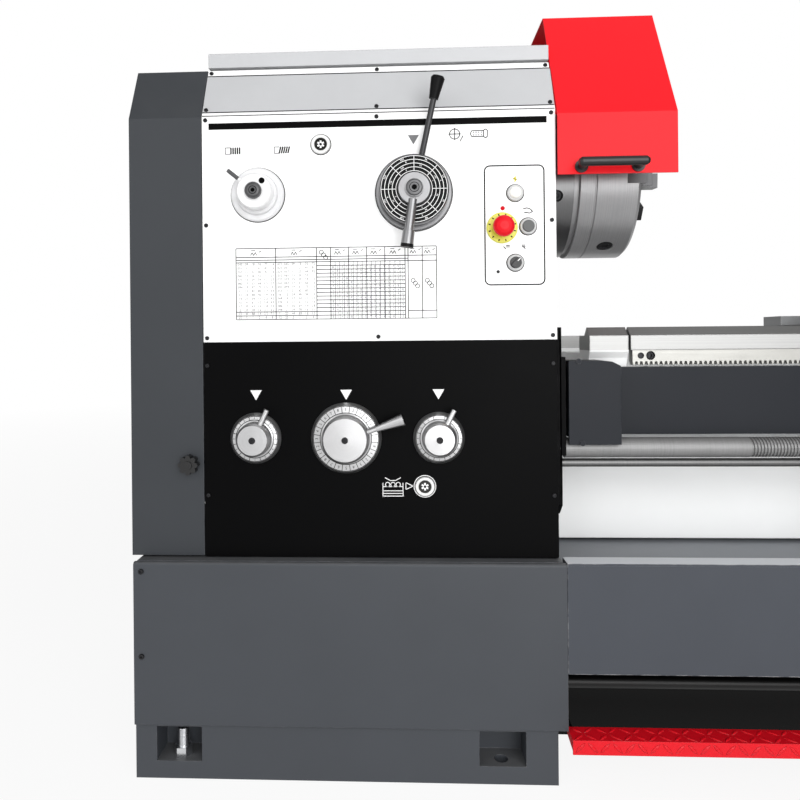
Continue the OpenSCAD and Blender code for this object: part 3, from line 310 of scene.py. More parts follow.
zinc = plain_steel("zinc_plate", (0.66, 0.67, 0.69, 1.0), 0.28, along=(60.0, 60.0, 60.0))
dress(zinc, "levelling_bolts")
bolt_low, bolt_high = corners("levelling_bolts")
pedestal_low, pedestal_high = corners("headstock_pedestal")
tail_low, tail_high = corners("tailstock_pedestal")
stud_radius = 0.010
nut_half = 0.0175 * math.sin(math.pi / 3)
front_row = bolt_low[1] + nut_half
rear_row = bolt_high[1] - nut_half
stud_places = [(pedestal_low[0] + 0.083, front_row), (pedestal_low[0] + 0.083, rear_row),
               (pedestal_high[0] - 0.114, rear_row)]
stud_places += [(x, y) for x in (tail_low[0] + 0.091, tail_high[0] - 0.110) for y in (front_row, rear_row)]
stud_threads = [thread(spot, 0.0505, 0.0835, stud_radius - 0.0002, stud_radius + 0.0007, 0.0025)
                for spot in stud_places]
piece("stud_threads", stud_threads, zinc, "frame")

# Brake treadle: red enamelled chequer plate on arms and a torsion shaft, along the whole tray.
# Its lozenges are low raised lenses, rolled into the plate in two directions by turns.


def plates(outlines, thickness, taper=1.0):
    """Flat prisms: n outlines of k corners, an array (n, k, 2), raised by a thickness with a taper."""
    count, k, _ = outlines.shape
    middle = outlines.mean(1, keepdims=True)
    low = np.concatenate([outlines, np.zeros((count, k, 1))], 2)
    high = np.concatenate([middle + taper * (outlines - middle), np.full((count, k, 1), thickness)], 2)
    points = np.concatenate([low, high], 1).reshape(-1, 3)
    start = np.arange(count)[:, None] * 2 * k
    ring = np.arange(k)
    side = np.stack([ring, np.roll(ring, -1), np.roll(ring, -1) + k, ring + k], 1)
    sides = (start[:, :, None] + side[None]).reshape(-1, 4)
    return points, (start + k + ring).tolist() + (start + ring[::-1]).tolist() + sides.tolist()


def laid(shape, origin, right, up):
    """A shape drawn in a plane, carried to an origin with its own right and up, its height going outward."""
    points, faces = shape
    right, up = np.array(right, float), np.array(up, float)
    axes = np.stack([right, up, np.cross(right, up)])
    return np.asarray(origin, float) + points @ axes, faces


def on_front(shape, y, x=0.0, z=0.0):
    """A shape drawn in X and Z, carried to an upright front plane, its height going forward."""
    return laid(shape, (x, y, z), (1, 0, 0), (0, 0, 1))


def lozenges(length, width, pitch, long, wide):
    """Lens outlines of six corners over a rectangle, turned by 45 degrees to each side like a chessboard."""
    across = max(int(width // pitch), 1)
    i, j = (part.ravel() for part in np.meshgrid(np.arange(int(length // pitch)), np.arange(across)))
    lens = np.array([[-0.5, 0], [-0.2, -0.5], [0.2, -0.5], [0.5, 0], [0.2, 0.5], [-0.2, 0.5]]) * [long, wide]
    turn = np.pi / 4 * (1 - 2 * ((i + j) % 2))
    spin = np.stack([np.cos(turn), np.sin(turn), -np.sin(turn), np.cos(turn)], -1).reshape(-1, 2, 2)
    centre = np.stack([(i + 0.5) * length / int(length // pitch), (j + 0.5) * width / across], -1)
    return lens @ spin + centre[:, None]


def treadle_finish_with_painted_shade(name, red, shaft, painted_shade_from):
    """Red enamel on the plate, and black on the arms and the shaft behind it as painted shade of the recess
    under the tray.
    """
    material, tree, surface = fresh_material(name, 0.3)
    depth = join(tree, "SeparateXYZ", links={0: object_place(tree)})
    # Painted shade: behind the plate the arms and the shaft turn black, standing for the deep shade under the
    # tray.
    behind = compare(tree, "GREATER_THAN", depth.outputs["Y"], painted_shade_from)
    spray = effect(tree, skin, Cloud=5.0, Peel=420.0)
    edge = effect(tree, edges, Radius=0.001, Amount=0.8)
    body = cloudy(tree, spray.outputs["Shade"], red, 0.85, 1.1)
    body = blend_colour(tree, edge.outputs["Rubbed"], body, (0.34, 0.34, 0.35, 1.0))
    tree.links.new(blend_colour(tree, behind, body, shaft), surface.inputs["Base Color"])
    vary(tree, surface, "Roughness", spray.outputs["Shade"], 0.34, 0.5)
    relief(tree, surface, spray.outputs["Height"], edge.outputs["Normal"], 0.00004)
    return material


treadle_red_with_painted_shade = treadle_finish_with_painted_shade("treadle_red_with_painted_shade", screen_colour(214, 10, 28), (0.002, 0.002, 0.002, 1.0), -0.2585)
dress(treadle_red_with_painted_shade, "brake_pedal")
tread_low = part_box("brake_pedal")[0]
tread_x = (0.409, tail_low[0] - 0.008)
tread_top = 0.102
tread_depth = 0.046
lip_height = 0.024
lens_height = 0.0014
tread_length = tread_x[1] - tread_x[0]
top_lenses = plates(lozenges(tread_length, tread_depth, 0.022, 0.026, 0.0062), lens_height, 0.45)
lip_lenses = plates(lozenges(tread_length, lip_height, 0.022, 0.026, 0.0062), lens_height, 0.45)
piece("tread_lozenges", [laid(top_lenses, (tread_x[0], tread_low[1], tread_top), (1, 0, 0), (0, 1, 0)),
                         on_front(lip_lenses, tread_low[1], tread_x[0], tread_top - 0.025)],
      treadle_red_with_painted_shade, "pedal")

# Bed, gap bridge and rack: a cast-iron bed in white enamel with ground ways, and a steel rack in lengths
# screwed under the front way. Charcoal sheet covers close the bed's front and the leadscrew's couplings.
way_edge = 0.801


def ground_casting(name, enamel, steel, ground_above):
    """White enamel on a casting up to a height, and ground bare ways with long grinding lines above it."""
    material, tree, surface = fresh_material(name)
    place = object_place(tree)
    height = join(tree, "SeparateXYZ", links={0: place})
    ground = compare(tree, "GREATER_THAN", height.outputs["Z"], ground_above)
    drawn = join(tree, "VectorMath", {1: (3.0, 1500.0, 1500.0)}, {0: place}, operation="MULTIPLY")
    lines = join(tree, "TexNoise", {"Scale": 1.0, "Detail": 3.0}, {"Vector": drawn.outputs[0]})
    spray = effect(tree, skin, Cloud=4.0, Peel=520.0)
    edge = effect(tree, edges, Radius=0.003, Amount=0.6)
    film = effect(tree, dust, Amount=0.15)
    paint = cloudy(tree, spray.outputs["Shade"], enamel, 0.94, 1.05)
    paint = blend_colour(tree, edge.outputs["Rubbed"], paint, (0.5, 0.5, 0.5, 1.0))
    paint = blend_colour(tree, film.outputs["Dust"], paint, (0.5, 0.49, 0.46, 1.0))
    bare = cloudy(tree, lines.outputs["Fac"], steel, 0.8, 1.15)
    tree.links.new(blend_colour(tree, ground, paint, bare), surface.inputs["Base Color"])
    tree.links.new(ground, surface.inputs["Metallic"])
    vary(tree, surface, "Roughness", ground, 0.42, 0.46)
    relief(tree, surface, lines.outputs["Fac"], edge.outputs["Normal"], 0.00002)
    return material


bed_finish = ground_casting("white_bed_with_ground_ways", screen_colour(228, 229, 229),
                            (0.34, 0.34, 0.336, 1.0), way_edge)
dress(bed_finish, "bed", "gap_bridge")
dress(plain_steel("rack_steel", (0.29, 0.287, 0.272, 1.0), 0.38, along=(5.0, 700.0, 700.0)), "rack")
charcoal = painted("charcoal_enamel", screen_colour(26, 29, 35), 0.5, dusty=0.06, shine=0.2)
dress(charcoal, "bed_front_cover", "coupling_cover")


def turned(profile, steps=32, ring=False):
    """A profile of (radius, height) turned about the height axis, closed as a ring or else capped."""
    radius, height = np.array(profile, float).T
    angle = np.arange(steps) * 2 * np.pi / steps
    points = np.stack([radius[:, None] * np.cos(angle), radius[:, None] * np.sin(angle),
                       np.repeat(height[:, None], steps, 1)], -1).reshape(-1, 3)
    faces = grid_faces(len(radius), steps, True).tolist()
    if ring:
        last = (len(radius) - 1) * steps
        k = np.arange(steps)
        faces += np.stack([last + k, last + (k + 1) % steps, (k + 1) % steps, k], -1).tolist()
    else:
        faces += [list(range(steps))[::-1], list(range((len(radius) - 1) * steps, len(radius) * steps))]
    return points, faces


def socket_screw(radius, height, hexagon, sides=6):
    """A round screw head about the height axis, with a rounded rim and a socket of flat sides in its top."""
    steps = 24
    angle = np.arange(steps) * 2 * np.pi / steps
    half = np.pi / sides
    flat = hexagon * math.cos(half) / np.cos((angle + half) % (2 * half) - half)
    rows = [(np.full(steps, radius), 0.0), (np.full(steps, radius), height * 0.6),
            (np.full(steps, radius * 0.86), height * 0.94), (np.full(steps, radius * 0.7), height),
            (flat, height), (flat, height * 0.35)]
    rings = [np.stack([r * np.cos(angle), r * np.sin(angle), np.full(steps, h)], -1) for r, h in rows]
    ends = [list(range(steps))[::-1], list(range((len(rows) - 1) * steps, len(rows) * steps))]
    return np.concatenate(rings), grid_faces(len(rows), steps, True).tolist() + ends


black_oxide = plain_steel("black_oxide_steel", (0.014, 0.014, 0.016, 1.0), 0.42, along=(80.0, 80.0, 80.0),
                          metallic=0.5)
rack_low, rack_high = corners("rack")
rack_length = (rack_high[0] - rack_low[0]) / 3
hole_z = 0.790
rack_screw = socket_screw(0.0078, 0.008, 0.0042)
# Black-oxide dowel pins fill the dowel holes, dark enough to stand also as painted shade inside the holes.
dowel_pin_and_hole_shade = turned([(0.0056, 0.0), (0.0056, 0.004)], 24)
starts = [rack_low[0] + k * rack_length for k in range(3)]
rack_heads = [on_front(rack_screw, rack_low[1] + 0.0098, start + offset, hole_z)
              for start in starts for offset in (0.035, rack_length - 0.025)]
rack_heads += [on_front(dowel_pin_and_hole_shade, rack_low[1] + 0.0076, start + 0.016, hole_z) for start in starts]
piece("rack_screws", rack_heads, black_oxide, "frame")

# Feed gearbox: a black painted casting with a satin front plate, and white printed marks: a triangle over
# each dial, and an oil bath with an arrow beside the oil sight.
plate_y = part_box("gearbox_front_plate")[0][1]
ink_thickness = 0.00015
black_enamel = painted("black_enamel", (0.0015, 0.0015, 0.0017, 1.0), 0.42, peel=500.0, rub=0.3, dusty=0.01,
                       shine=0.04)
dress(black_enamel, "gearbox_case", "gearbox_front_plate")


def ink(name, colour, shine=0.15):
    """Screen-printed ink: a flat colour broken by the mesh's fine grain, slightly uneven in gloss."""
    material, tree, surface = fresh_material(name, shine)
    grain = effect(tree, skin, Cloud=90.0, Peel=2500.0)
    tree.links.new(cloudy(tree, grain.outputs["Shade"], colour, 0.85, 1.12), surface.inputs["Base Color"])
    vary(tree, surface, "Roughness", grain.outputs["Height"], 0.42, 0.58)
    return material


def strokes(segments, width):
    """Outlines of printed lines: each segment of two ends widened to both sides, an array (n, 4, 2)."""
    start, end = np.asarray(segments, float).transpose(1, 0, 2)
    way = (end - start) / np.linalg.norm(end - start, axis=1, keepdims=True)
    side = np.stack([-way[:, 1], way[:, 0]], -1) * width / 2
    return np.stack([start - side, end - side, end + side, start + side], 1)


def path(points, close=False):
    """Segments along a row of points, and back to its start where it closes."""
    points = [tuple(point) for point in points]
    if close:
        points.append(points[0])
    return list(zip(points, points[1:]))


def arc(centre, radius, first, last, count):
    """Points on an arc, the angles in degrees from the right, counter-clockwise."""
    angle = np.radians(np.linspace(first, last, count))
    return np.stack([centre[0] + radius * np.cos(angle), centre[1] + radius * np.sin(angle)], -1)


def printed_lines(segments, width, y):
    """Lines printed on an upright front plane."""
    return on_front(plates(strokes(segments, width), ink_thickness), y)


def triangle(x, z, side):
    """A printed triangle pointing down, by the middle of its flat top."""
    return np.array([[[x - side / 2, z], [x, z - side * 0.87], [x + side / 2, z]]])


white_ink = ink("white_ink", (0.82, 0.82, 0.82, 1.0))
pivot = {joint["child"]: np.array(joint["pos_m"]) for joint in frame["joints"] if "pos_m" in joint}
dial_centres = [pivot[name][[0, 2]] for name in ("dial_left", "dial_middle", "dial_right")]
marks = [on_front(plates(triangle(x, z + 0.091, 0.022), ink_thickness), plate_y) for x, z in dial_centres]
oil_x, oil_z = dial_centres[1][0] + 0.0875, dial_centres[1][1] - 0.094
bath = [((oil_x - 0.019, oil_z + k), (oil_x + 0.019, oil_z + k)) for k in (-0.017, -0.012, -0.007, 0.001)]
walls = [((oil_x + s * 0.019, oil_z - 0.0178), (oil_x + s * 0.019, oil_z + 0.008)) for s in (-1, 1)]
wheels = sum((path(arc((oil_x + k, oil_z + 0.005), 0.0042, 0, 360, 13)) for k in (-0.010, 0.0, 0.010)), [])
funnel = path([(oil_x - 0.015, oil_z + 0.018), (oil_x - 0.005, oil_z + 0.0125),
               (oil_x + 0.005, oil_z + 0.0125), (oil_x + 0.015, oil_z + 0.018)])
arrow = path([(oil_x + 0.0245, oil_z + 0.0085), (oil_x + 0.038, oil_z + 0.002),
              (oil_x + 0.0245, oil_z - 0.0045)], True)
marks.append(printed_lines(bath + walls + wheels + funnel + arrow, 0.0014, plate_y))
piece("gearbox_marks", marks, white_ink, "frame")

# Headstock: a white enamelled case behind an upright panel, a sloped panel and a lid, held by black screws.
# The panel carries a printed band, a table of plain numbers, small pictograms and a line round the switches.
panel_low, panel_high = corners("headstock_front_panel")
panel_y = panel_low[1]
white_enamel = painted("white_enamel", screen_colour(248, 248, 248), 0.4, peel=450.0, rub=0.25, dusty=0.05)
pale_enamel = painted("pale_grey_enamel", screen_colour(181, 182, 184), 0.4, peel=450.0, rub=0.25, dusty=0.08)
dress(white_enamel, "headstock_case", "headstock_front_panel")
dress(pale_enamel, "headstock_slope_panel", "headstock_lid")

numerals = {}


def numeral(text):
    """A plain number as a thin solid one unit high, centred on its place, made once for each text."""
    if text not in numerals:
        curve = bpy.data.curves.new("numeral", "FONT")
        curve.body, curve.size, curve.align_x, curve.align_y = text, 1.0, "CENTER", "CENTER"
        curve.resolution_u, curve.extrude = 2, 0.02
        holder = bpy.data.objects.new("numeral", curve)
        bpy.context.scene.collection.objects.link(holder)
        bpy.context.view_layer.update()
        mesh = bpy.data.meshes.new_from_object(holder)
        points = np.empty(len(mesh.vertices) * 3)
        mesh.vertices.foreach_get("co", points)
        numerals[text] = points.reshape(-1, 3), [list(face.vertices) for face in mesh.polygons]
        bpy.data.objects.remove(holder)
        bpy.data.meshes.remove(mesh)
    return numerals[text]


def small_number(text, height):
    """A number as high as given and as thick as ink."""
    points, faces = numeral(text)
    return points * [height * 1.35, height * 1.35, ink_thickness / 0.04], faces


black_ink = ink("black_ink", (0.0012, 0.0012, 0.0013, 1.0), shine=0.04)
band_x, band_z = (-0.261, 0.381), (1.2305, 1.243)
band = np.array([[(band_x[i], band_z[j]) for i, j in ((0, 0), (1, 0), (1, 1), (0, 1))]])
band_shape = on_front(plates(band, ink_thickness), panel_y)

table_x = (-0.210, 0.1725)
table_z = (0.866, 1.002)
head_z = (0.985, 0.9795, 0.975)
parts = np.array([0.0, 0.2, 0.405, 0.475, 0.565, 0.655, 0.745, 0.845, 0.86, 0.93, 1.0])
columns = table_x[0] + parts * (table_x[1] - table_x[0])
row_count = 15
rows = np.linspace(head_z[2], table_z[0], row_count + 1)
lines = [((table_x[0], z), (table_x[1], z)) for z in (table_z[0], table_z[1], head_z[0])]
lines += [((table_x[0], z), (columns[8], z)) for z in head_z[1:]]
lines += [((x, table_z[0]), (x, table_z[1])) for x in columns]
lines += [((columns[2], z), (columns[7], z)) for z in rows[1:-1]]
lines += [((columns[0], z), (columns[2], z)) for z in rows[-3:-1]]
fine = [((a + (b - a) * k / 4, head_z[2]), (a + (b - a) * k / 4, table_z[0]))
        for a, b in zip(columns[3:7], columns[4:8]) for k in (1, 2, 3)]
lines += [((columns[8], rows[13]), (columns[10], rows[13])),
          ((columns[8], head_z[2]), (columns[10], head_z[2]))]
signs = []
for a, b in zip(columns[[0, 1, 3, 4, 5, 6, 8, 9]], columns[[1, 2, 4, 5, 6, 7, 9, 10]]):
    x, z = (a + b) / 2 - 0.004, (table_z[1] + head_z[0]) / 2
    signs += path([(x - 0.006, z - 0.005), (x - 0.003, z + 0.001), (x, z - 0.005), (x + 0.003, z + 0.001),
                   (x + 0.006, z - 0.005)])
    signs += [((x + 0.010, z + 0.001), (x + 0.0145, z + 0.004)),
              ((x - 0.005, z + 0.0045), (x + 0.003, z + 0.0045))]
for x, z in (((columns[2] + columns[3]) / 2, 0.988), ((columns[8] + columns[9]) / 2, 0.932),
             ((columns[9] + columns[10]) / 2, 0.932)):
    for k in (-1, 0, 1):
        signs += path(arc((x + 0.0042 * k, z - 0.0052 * k), 0.0040, 0, 360, 9))
cells = [printed_lines(signs, 0.0013, panel_y)]
cell_z = (rows[:-1] + rows[1:]) / 2
number_height = 0.0046
for column, (a, b) in enumerate(zip(columns[:2], columns[1:3])):
    for step in range(6):
        for row in range(row_count):
            value = f"{0.045 * (1.13 ** row) * (2 ** step) / (1 + column):.2g}".lstrip("0")
            x = a + (b - a) * (step + 0.55) / 6.1
            cells.append(on_front(small_number(value, number_height), panel_y, x, cell_z[row]))
for step in range(16):
    for row in range(1, row_count):
        x = columns[3] + (columns[7] - columns[3]) * (step + 0.5) / 16
        value = str((7 * row + 11 * step) % 9 + 1)
        cells.append(on_front(small_number(value, number_height), panel_y, x, cell_z[row]))


def thread_mark(x, z, lean):
    """A pictogram of a threaded bar: an open end and a row of strokes that lean like the thread's hand."""
    shaft = path([(x - 0.004, z + 0.006), (x - 0.014, z + 0.006), (x - 0.014, z - 0.006),
                  (x - 0.004, z - 0.006)])
    ridges = [((x - 0.003 + k * 0.0042 - lean, z - 0.0065), (x - 0.003 + k * 0.0042 + lean, z + 0.0065))
              for k in range(5)]
    return [printed_lines(shaft, 0.0014, panel_y), printed_lines(ridges, 0.0028, panel_y)]


def feed_mark(x, z):
    """A pictogram of a divided circle beside a slash and a stepped bar."""
    circle = path(arc((x, z), 0.0095, 0, 360, 25))
    cross = [((x - 0.0115, z), (x + 0.0115, z)), ((x, z - 0.0115), (x, z + 0.0115))]
    slash = [((x + 0.010, z - 0.014), (x + 0.016, z - 0.003))]
    bar_x = x + 0.046
    bar = path([(bar_x - 0.014, z + 0.0055), (bar_x + 0.008, z + 0.0055), (bar_x + 0.012, z + 0.0085),
                (bar_x + 0.016, z + 0.005), (bar_x + 0.016, z - 0.005), (bar_x + 0.012, z - 0.0085),
                (bar_x + 0.008, z - 0.0055), (bar_x - 0.014, z - 0.0055), (bar_x - 0.0165, z)], True)
    inner = [((bar_x - 0.012 + k, z + s), (bar_x - 0.0095 + k, z + s)) for k in (0, 0.005, 0.01, 0.015)
             for s in (-0.0025, 0.0025)]
    neck = [((bar_x + 0.008, z - 0.0055), (bar_x + 0.008, z + 0.0055))]
    return printed_lines(circle + cross + slash + bar + inner + neck, 0.0017, panel_y)


def front_middle(node):
    """The middle of a solid's box as seen from the front, in X and Z."""
    low, high = corners(node)
    return (low[0] + high[0]) / 2, (low[2] + high[2]) / 2


hand_x, hand_z = pivot["thread_hand"][[0, 2]]
speed_x, speed_z = pivot["speed_dial"][[0, 2]]
panel_marks = thread_mark(hand_x - 0.0485, hand_z + 0.0854, 0.0)
panel_marks += thread_mark(hand_x + 0.046, hand_z + 0.0853, 0.0016)
panel_marks.append(feed_mark(speed_x + 0.0778, speed_z + 0.1096))
stop_x, stop_z = front_middle("estop_button")
jog_x, jog_z = front_middle("jog_button")
lamp_x, lamp_z = front_middle("power_lamp")
pick_x, pick_z = pivot["selector"][[0, 2]]
field_x, field_z, field_corner = (0.264, 0.375), (0.927, 1.151), 0.010
left, right = field_x[0] + field_corner, field_x[1] - field_corner
low, high = field_z[0] + field_corner, field_z[1] - field_corner
field_line = [arc((x, z), field_corner, first, first + 90, 7) for x, z, first in
              ((right, high, 0), (left, high, 90), (left, low, 180), (right, low, 270))]
panel_marks.append(printed_lines(path(np.concatenate(field_line), True), 0.0026, panel_y))
flow = [((pick_x + k - 0.008, pick_z + 0.031), (pick_x + k - 0.003, pick_z + 0.026)) for k in (-0.014, 0.022)]
flow += [((pick_x + k, pick_z + s), (pick_x + k + 0.007, pick_z + s)) for k in (-0.017, 0.012)
         for s in (0.030, 0.033)]
wave = path([(jog_x - 0.009, jog_z + 0.033), (jog_x - 0.002, jog_z + 0.035), (jog_x + 0.004, jog_z + 0.033),
             (jog_x + 0.009, jog_z + 0.028), (jog_x + 0.003, jog_z + 0.025), (jog_x - 0.007, jog_z + 0.027)])
panel_marks.append(printed_lines(flow + wave, 0.0018, panel_y))
panel_marks.append(printed_lines(lines, 0.0015, panel_y))
panel_marks.append(printed_lines(fine, 0.0009, panel_y))
piece("panel_marks", [band_shape] + panel_marks + cells, black_ink, "frame")

grey_ink = ink("grey_ink", (0.16, 0.16, 0.165, 1.0))
piece("range_mark", [on_front(plates(triangle(speed_x, speed_z + 0.1095, 0.021), ink_thickness), panel_y)],
      grey_ink, "frame")
yellow_ink = ink("yellow_ink", (0.62, 0.55, 0.02, 1.0))
bolt_sign = path([(lamp_x + 0.002, lamp_z + 0.031), (lamp_x - 0.003, lamp_z + 0.0265),
                  (lamp_x + 0.003, lamp_z + 0.0265), (lamp_x - 0.001, lamp_z + 0.0215)])
piece("lamp_mark", [printed_lines(bolt_sign, 0.0026, panel_y)], yellow_ink, "frame")
red_ink = ink("red_ink", screen_colour(192, 14, 32), shine=0.05)
spot = on_front(laid(turned([(0.0042, 0.0), (0.0042, ink_thickness)], 20),
                     (stop_x + 0.0015, stop_z + 0.037, 0), (1, 0, 0), (0, 1, 0)), panel_y)
piece("stop_mark", [spot], red_ink, "frame")

# Panel screws: black button-head screws of oxidised steel with hexagon sockets, at the panels' edges and
# corners, and thin black strips of painted shadow in the gaps where the folded sheets of the sloped panel
# meet their neighbours and along its bend.
slope_depth, slope_rise = 0.052, 0.108
slope_length = math.hypot(slope_depth, slope_rise)
slope = np.array([slope_depth, slope_rise]) / slope_length
slope_foot = np.array([panel_y, 1.256])
head_x = (panel_low[0] + 0.007, (panel_low[0] + panel_high[0]) / 2, panel_high[0] - 0.008)
front_heads = [(x, z) for x in head_x for z in (slope_foot[1] - 0.007, panel_low[2] + 0.008)]
front_heads += [(x, panel_low[2] + k) for x in (head_x[0], head_x[2]) for k in (0.224, -0.045, -0.293)]
button_head = socket_screw(0.004, 0.003, 0.0018)
heads = [on_front(button_head, panel_y, x, z) for x, z in front_heads]
for x in head_x:
    for t, depth in ((0.016, 0.0), (slope_length - 0.008, 0.001)):
        y, z = slope_foot + slope * t + np.array([slope[1], -slope[0]]) * depth
        heads.append(laid(button_head, (x, y, z), (1, 0, 0), (0, slope[0], slope[1])))
# Painted shadow: thin black strips along the sloped panel's bend and in the gaps at its joins with its
# neighbours.
seam_shadow_strip = plates(strokes([((panel_low[0] + 0.0005, 0.0), (panel_high[0] - 0.0015, 0.0))], 0.0023),
                   ink_thickness)
seam_shadows = []
for t in (0.0013, 0.010, slope_length - 0.016):
    y, z = slope_foot + slope * t
    seam_shadows.append(laid(seam_shadow_strip, (0.0, y, z), (1, 0, 0), (0, slope[0], slope[1])))
piece("panel_seam_shadows", seam_shadows, black_ink, "frame")
cover_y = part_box("pedestal_front_cover")[0][1]
heads += [on_front(socket_screw(0.005, 0.004, 0.0023), cover_y, pedestal_low[0] + 0.015, z)
          for z in (pedestal_high[2] - 0.018, pedestal_high[2] - 0.178)]
heads.append(on_front(socket_screw(0.003, 0.003, 0.0014), panel_y, stop_x - 0.008, panel_low[2] + 0.128))
screw_heads = piece("screw_heads", heads, black_oxide, "frame")
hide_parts("panel_screws")

# Switches: moulded plastic rings on the panel, a milky lamp, a red emergency stop on a yellow collar,
# a grey jog button and a black selector with a white line. The buttons press and the selector turns.
crosswise = (0.0, 1.0, 0.0)


def moulded(name, colour, rough, grain=1600.0, coat=0.0, shine=0.5):
    """Moulded plastic: an even colour with slight clouds, a fine spark-eroded skin and soft edges."""
    material, tree, surface = fresh_material(name, shine, coat=coat)
    mould = effect(tree, skin, Cloud=30.0, Peel=grain)
    edge = effect(tree, edges, Radius=0.0008, Amount=0.5)
    body = cloudy(tree, mould.outputs["Shade"], colour, 0.92, 1.08)
    body = blend_colour(tree, edge.outputs["Rubbed"], body, shaded(colour, 1.35))
    tree.links.new(body, surface.inputs["Base Color"])
    vary(tree, surface, "Roughness", mould.outputs["Shade"], rough - 0.06, rough + 0.08)
    relief(tree, surface, mould.outputs["Height"], edge.outputs["Normal"], 0.00003)
    return material


def reach_from(tree, place, centre, axis):
    """Distance of a point from an axis along X, Y or Z through a centre."""
    offset = join(tree, "VectorMath", {1: tuple(centre)}, {0: place}, operation="SUBTRACT").outputs[0]
    across = join(tree, "VectorMath", {1: tuple(1.0 - abs(part) for part in axis)}, {0: offset},
                  operation="MULTIPLY")
    return join(tree, "VectorMath", links={0: across.outputs[0]}, operation="LENGTH").outputs["Value"]


def along_axis(tree, place, axis):
    """Place of a point along an axis through the frame's origin."""
    return join(tree, "VectorMath", {1: axis}, {0: place}, operation="DOT_PRODUCT").outputs["Value"]


def collar_and_rings(name, ring_colour, collar_colour, centre, reach):
    """Pale moulded rings, and a yellow collar within a reach of the emergency stop's middle."""
    material, tree, surface = fresh_material(name)
    place = object_place(tree)
    away = reach_from(tree, place, (centre[0], 0.0, centre[1]), crosswise)
    collar = compare(tree, "LESS_THAN", away, reach)
    mould = effect(tree, skin, Cloud=40.0, Peel=1500.0)
    edge = effect(tree, edges, Radius=0.0008, Amount=0.4)
    ring = cloudy(tree, mould.outputs["Shade"], ring_colour, 0.92, 1.06)
    yellow = cloudy(tree, mould.outputs["Shade"], collar_colour, 0.92, 1.06)
    tree.links.new(blend_colour(tree, collar, ring, yellow), surface.inputs["Base Color"])
    vary(tree, surface, "Roughness", mould.outputs["Shade"], 0.28, 0.42)
    relief(tree, surface, mould.outputs["Height"], edge.outputs["Normal"], 0.00002)
    return material


dress(collar_and_rings("switch_rings", (0.5, 0.5, 0.5, 1.0), (0.66, 0.63, 0.07, 1.0), (stop_x, stop_z),
                       0.0295), "switch_bezels")
dress(moulded("milky_lens", (0.85, 0.85, 0.82, 1.0), 0.22, coat=0.5), "power_lamp")
dress(moulded("stop_red", screen_colour(212, 14, 28), 0.36, shine=0.2), "estop_button")
dress(moulded("jog_grey", screen_colour(96, 97, 97), 0.45, shine=0.2), "jog_button")
black_plastic = moulded("black_plastic", (0.006, 0.006, 0.0065, 1.0), 0.36)
dress(black_plastic, "selector_knob", "star_knob", "guard_handle", "half_nut_lever")
bar_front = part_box("selector_knob")[0][1]
pointer = [[(pick_x + k / math.sqrt(2), pick_z + k / math.sqrt(2)) for k in (0.002, 0.009)]]
piece("selector_line", [printed_lines(pointer, 0.0016, bar_front)], white_ink, "selector")
ticks = [[(stop_x + r * math.sin(a), stop_z + r * math.cos(a)) for r in (0.0225, 0.0265)]
         for a in np.radians(np.arange(15, 360, 30))]
piece("stop_collar_marks", [printed_lines(ticks, 0.0022, panel_y - 0.0045)], black_ink, "frame")

# Oil sights: plated rings with a clear window over a float marked by six spokes.
# One is screwed into the headstock's front and one into the feed gearbox.


def sight_window(name, spots, reach):
    """A pale plated ring, and inside its reach of either window a clear lens over dark oil."""
    material, tree, surface = fresh_material(name)
    place = object_place(tree)
    away = [reach_from(tree, place, (x, 0.0, z), crosswise) for x, z in spots]
    window = compare(tree, "LESS_THAN", combine(tree, "MINIMUM", *away), reach)
    cloud = effect(tree, skin, Cloud=120.0, Peel=900.0)
    edge = effect(tree, edges, Radius=0.0008, Amount=0.4)
    plated = blend_colour(tree, cloud.outputs["Shade"], (0.62, 0.62, 0.61, 1.0), (0.8, 0.8, 0.79, 1.0))
    oil = blend_colour(tree, cloud.outputs["Shade"], (0.006, 0.006, 0.005, 1.0), (0.016, 0.015, 0.012, 1.0))
    tree.links.new(blend_colour(tree, window, plated, oil), surface.inputs["Base Color"])
    vary(tree, surface, "Metallic", window, 0.4, 0.0)
    vary(tree, surface, "Roughness", window, 0.3, 0.12)
    relief(tree, surface, cloud.outputs["Height"], edge.outputs["Normal"], 0.00002)
    return material


sights = [(panel_low[0] + 0.229, panel_low[2] + 0.3745), (panel_low[0] + 0.421, panel_low[2] - 0.276)]
dress(sight_window("oil_sight", sights, 0.0121), "oil_sights")
spokes = [[(x + r * math.cos(a), z + r * math.sin(a)) for r in (0.0025, 0.007)]
          for x, z in sights for a in np.radians(np.arange(30, 390, 60))]
piece("sight_marks", [printed_lines(spokes, 0.0034, panel_y - 0.003)], white_ink, "frame")

# Drive under the end cover: cast pulleys, three rubber V-belts and hobbed steel change gears,
# behind a swinging sheet-steel cover that a star knob clamps shut.
lengthwise = (1.0, 0.0, 0.0)


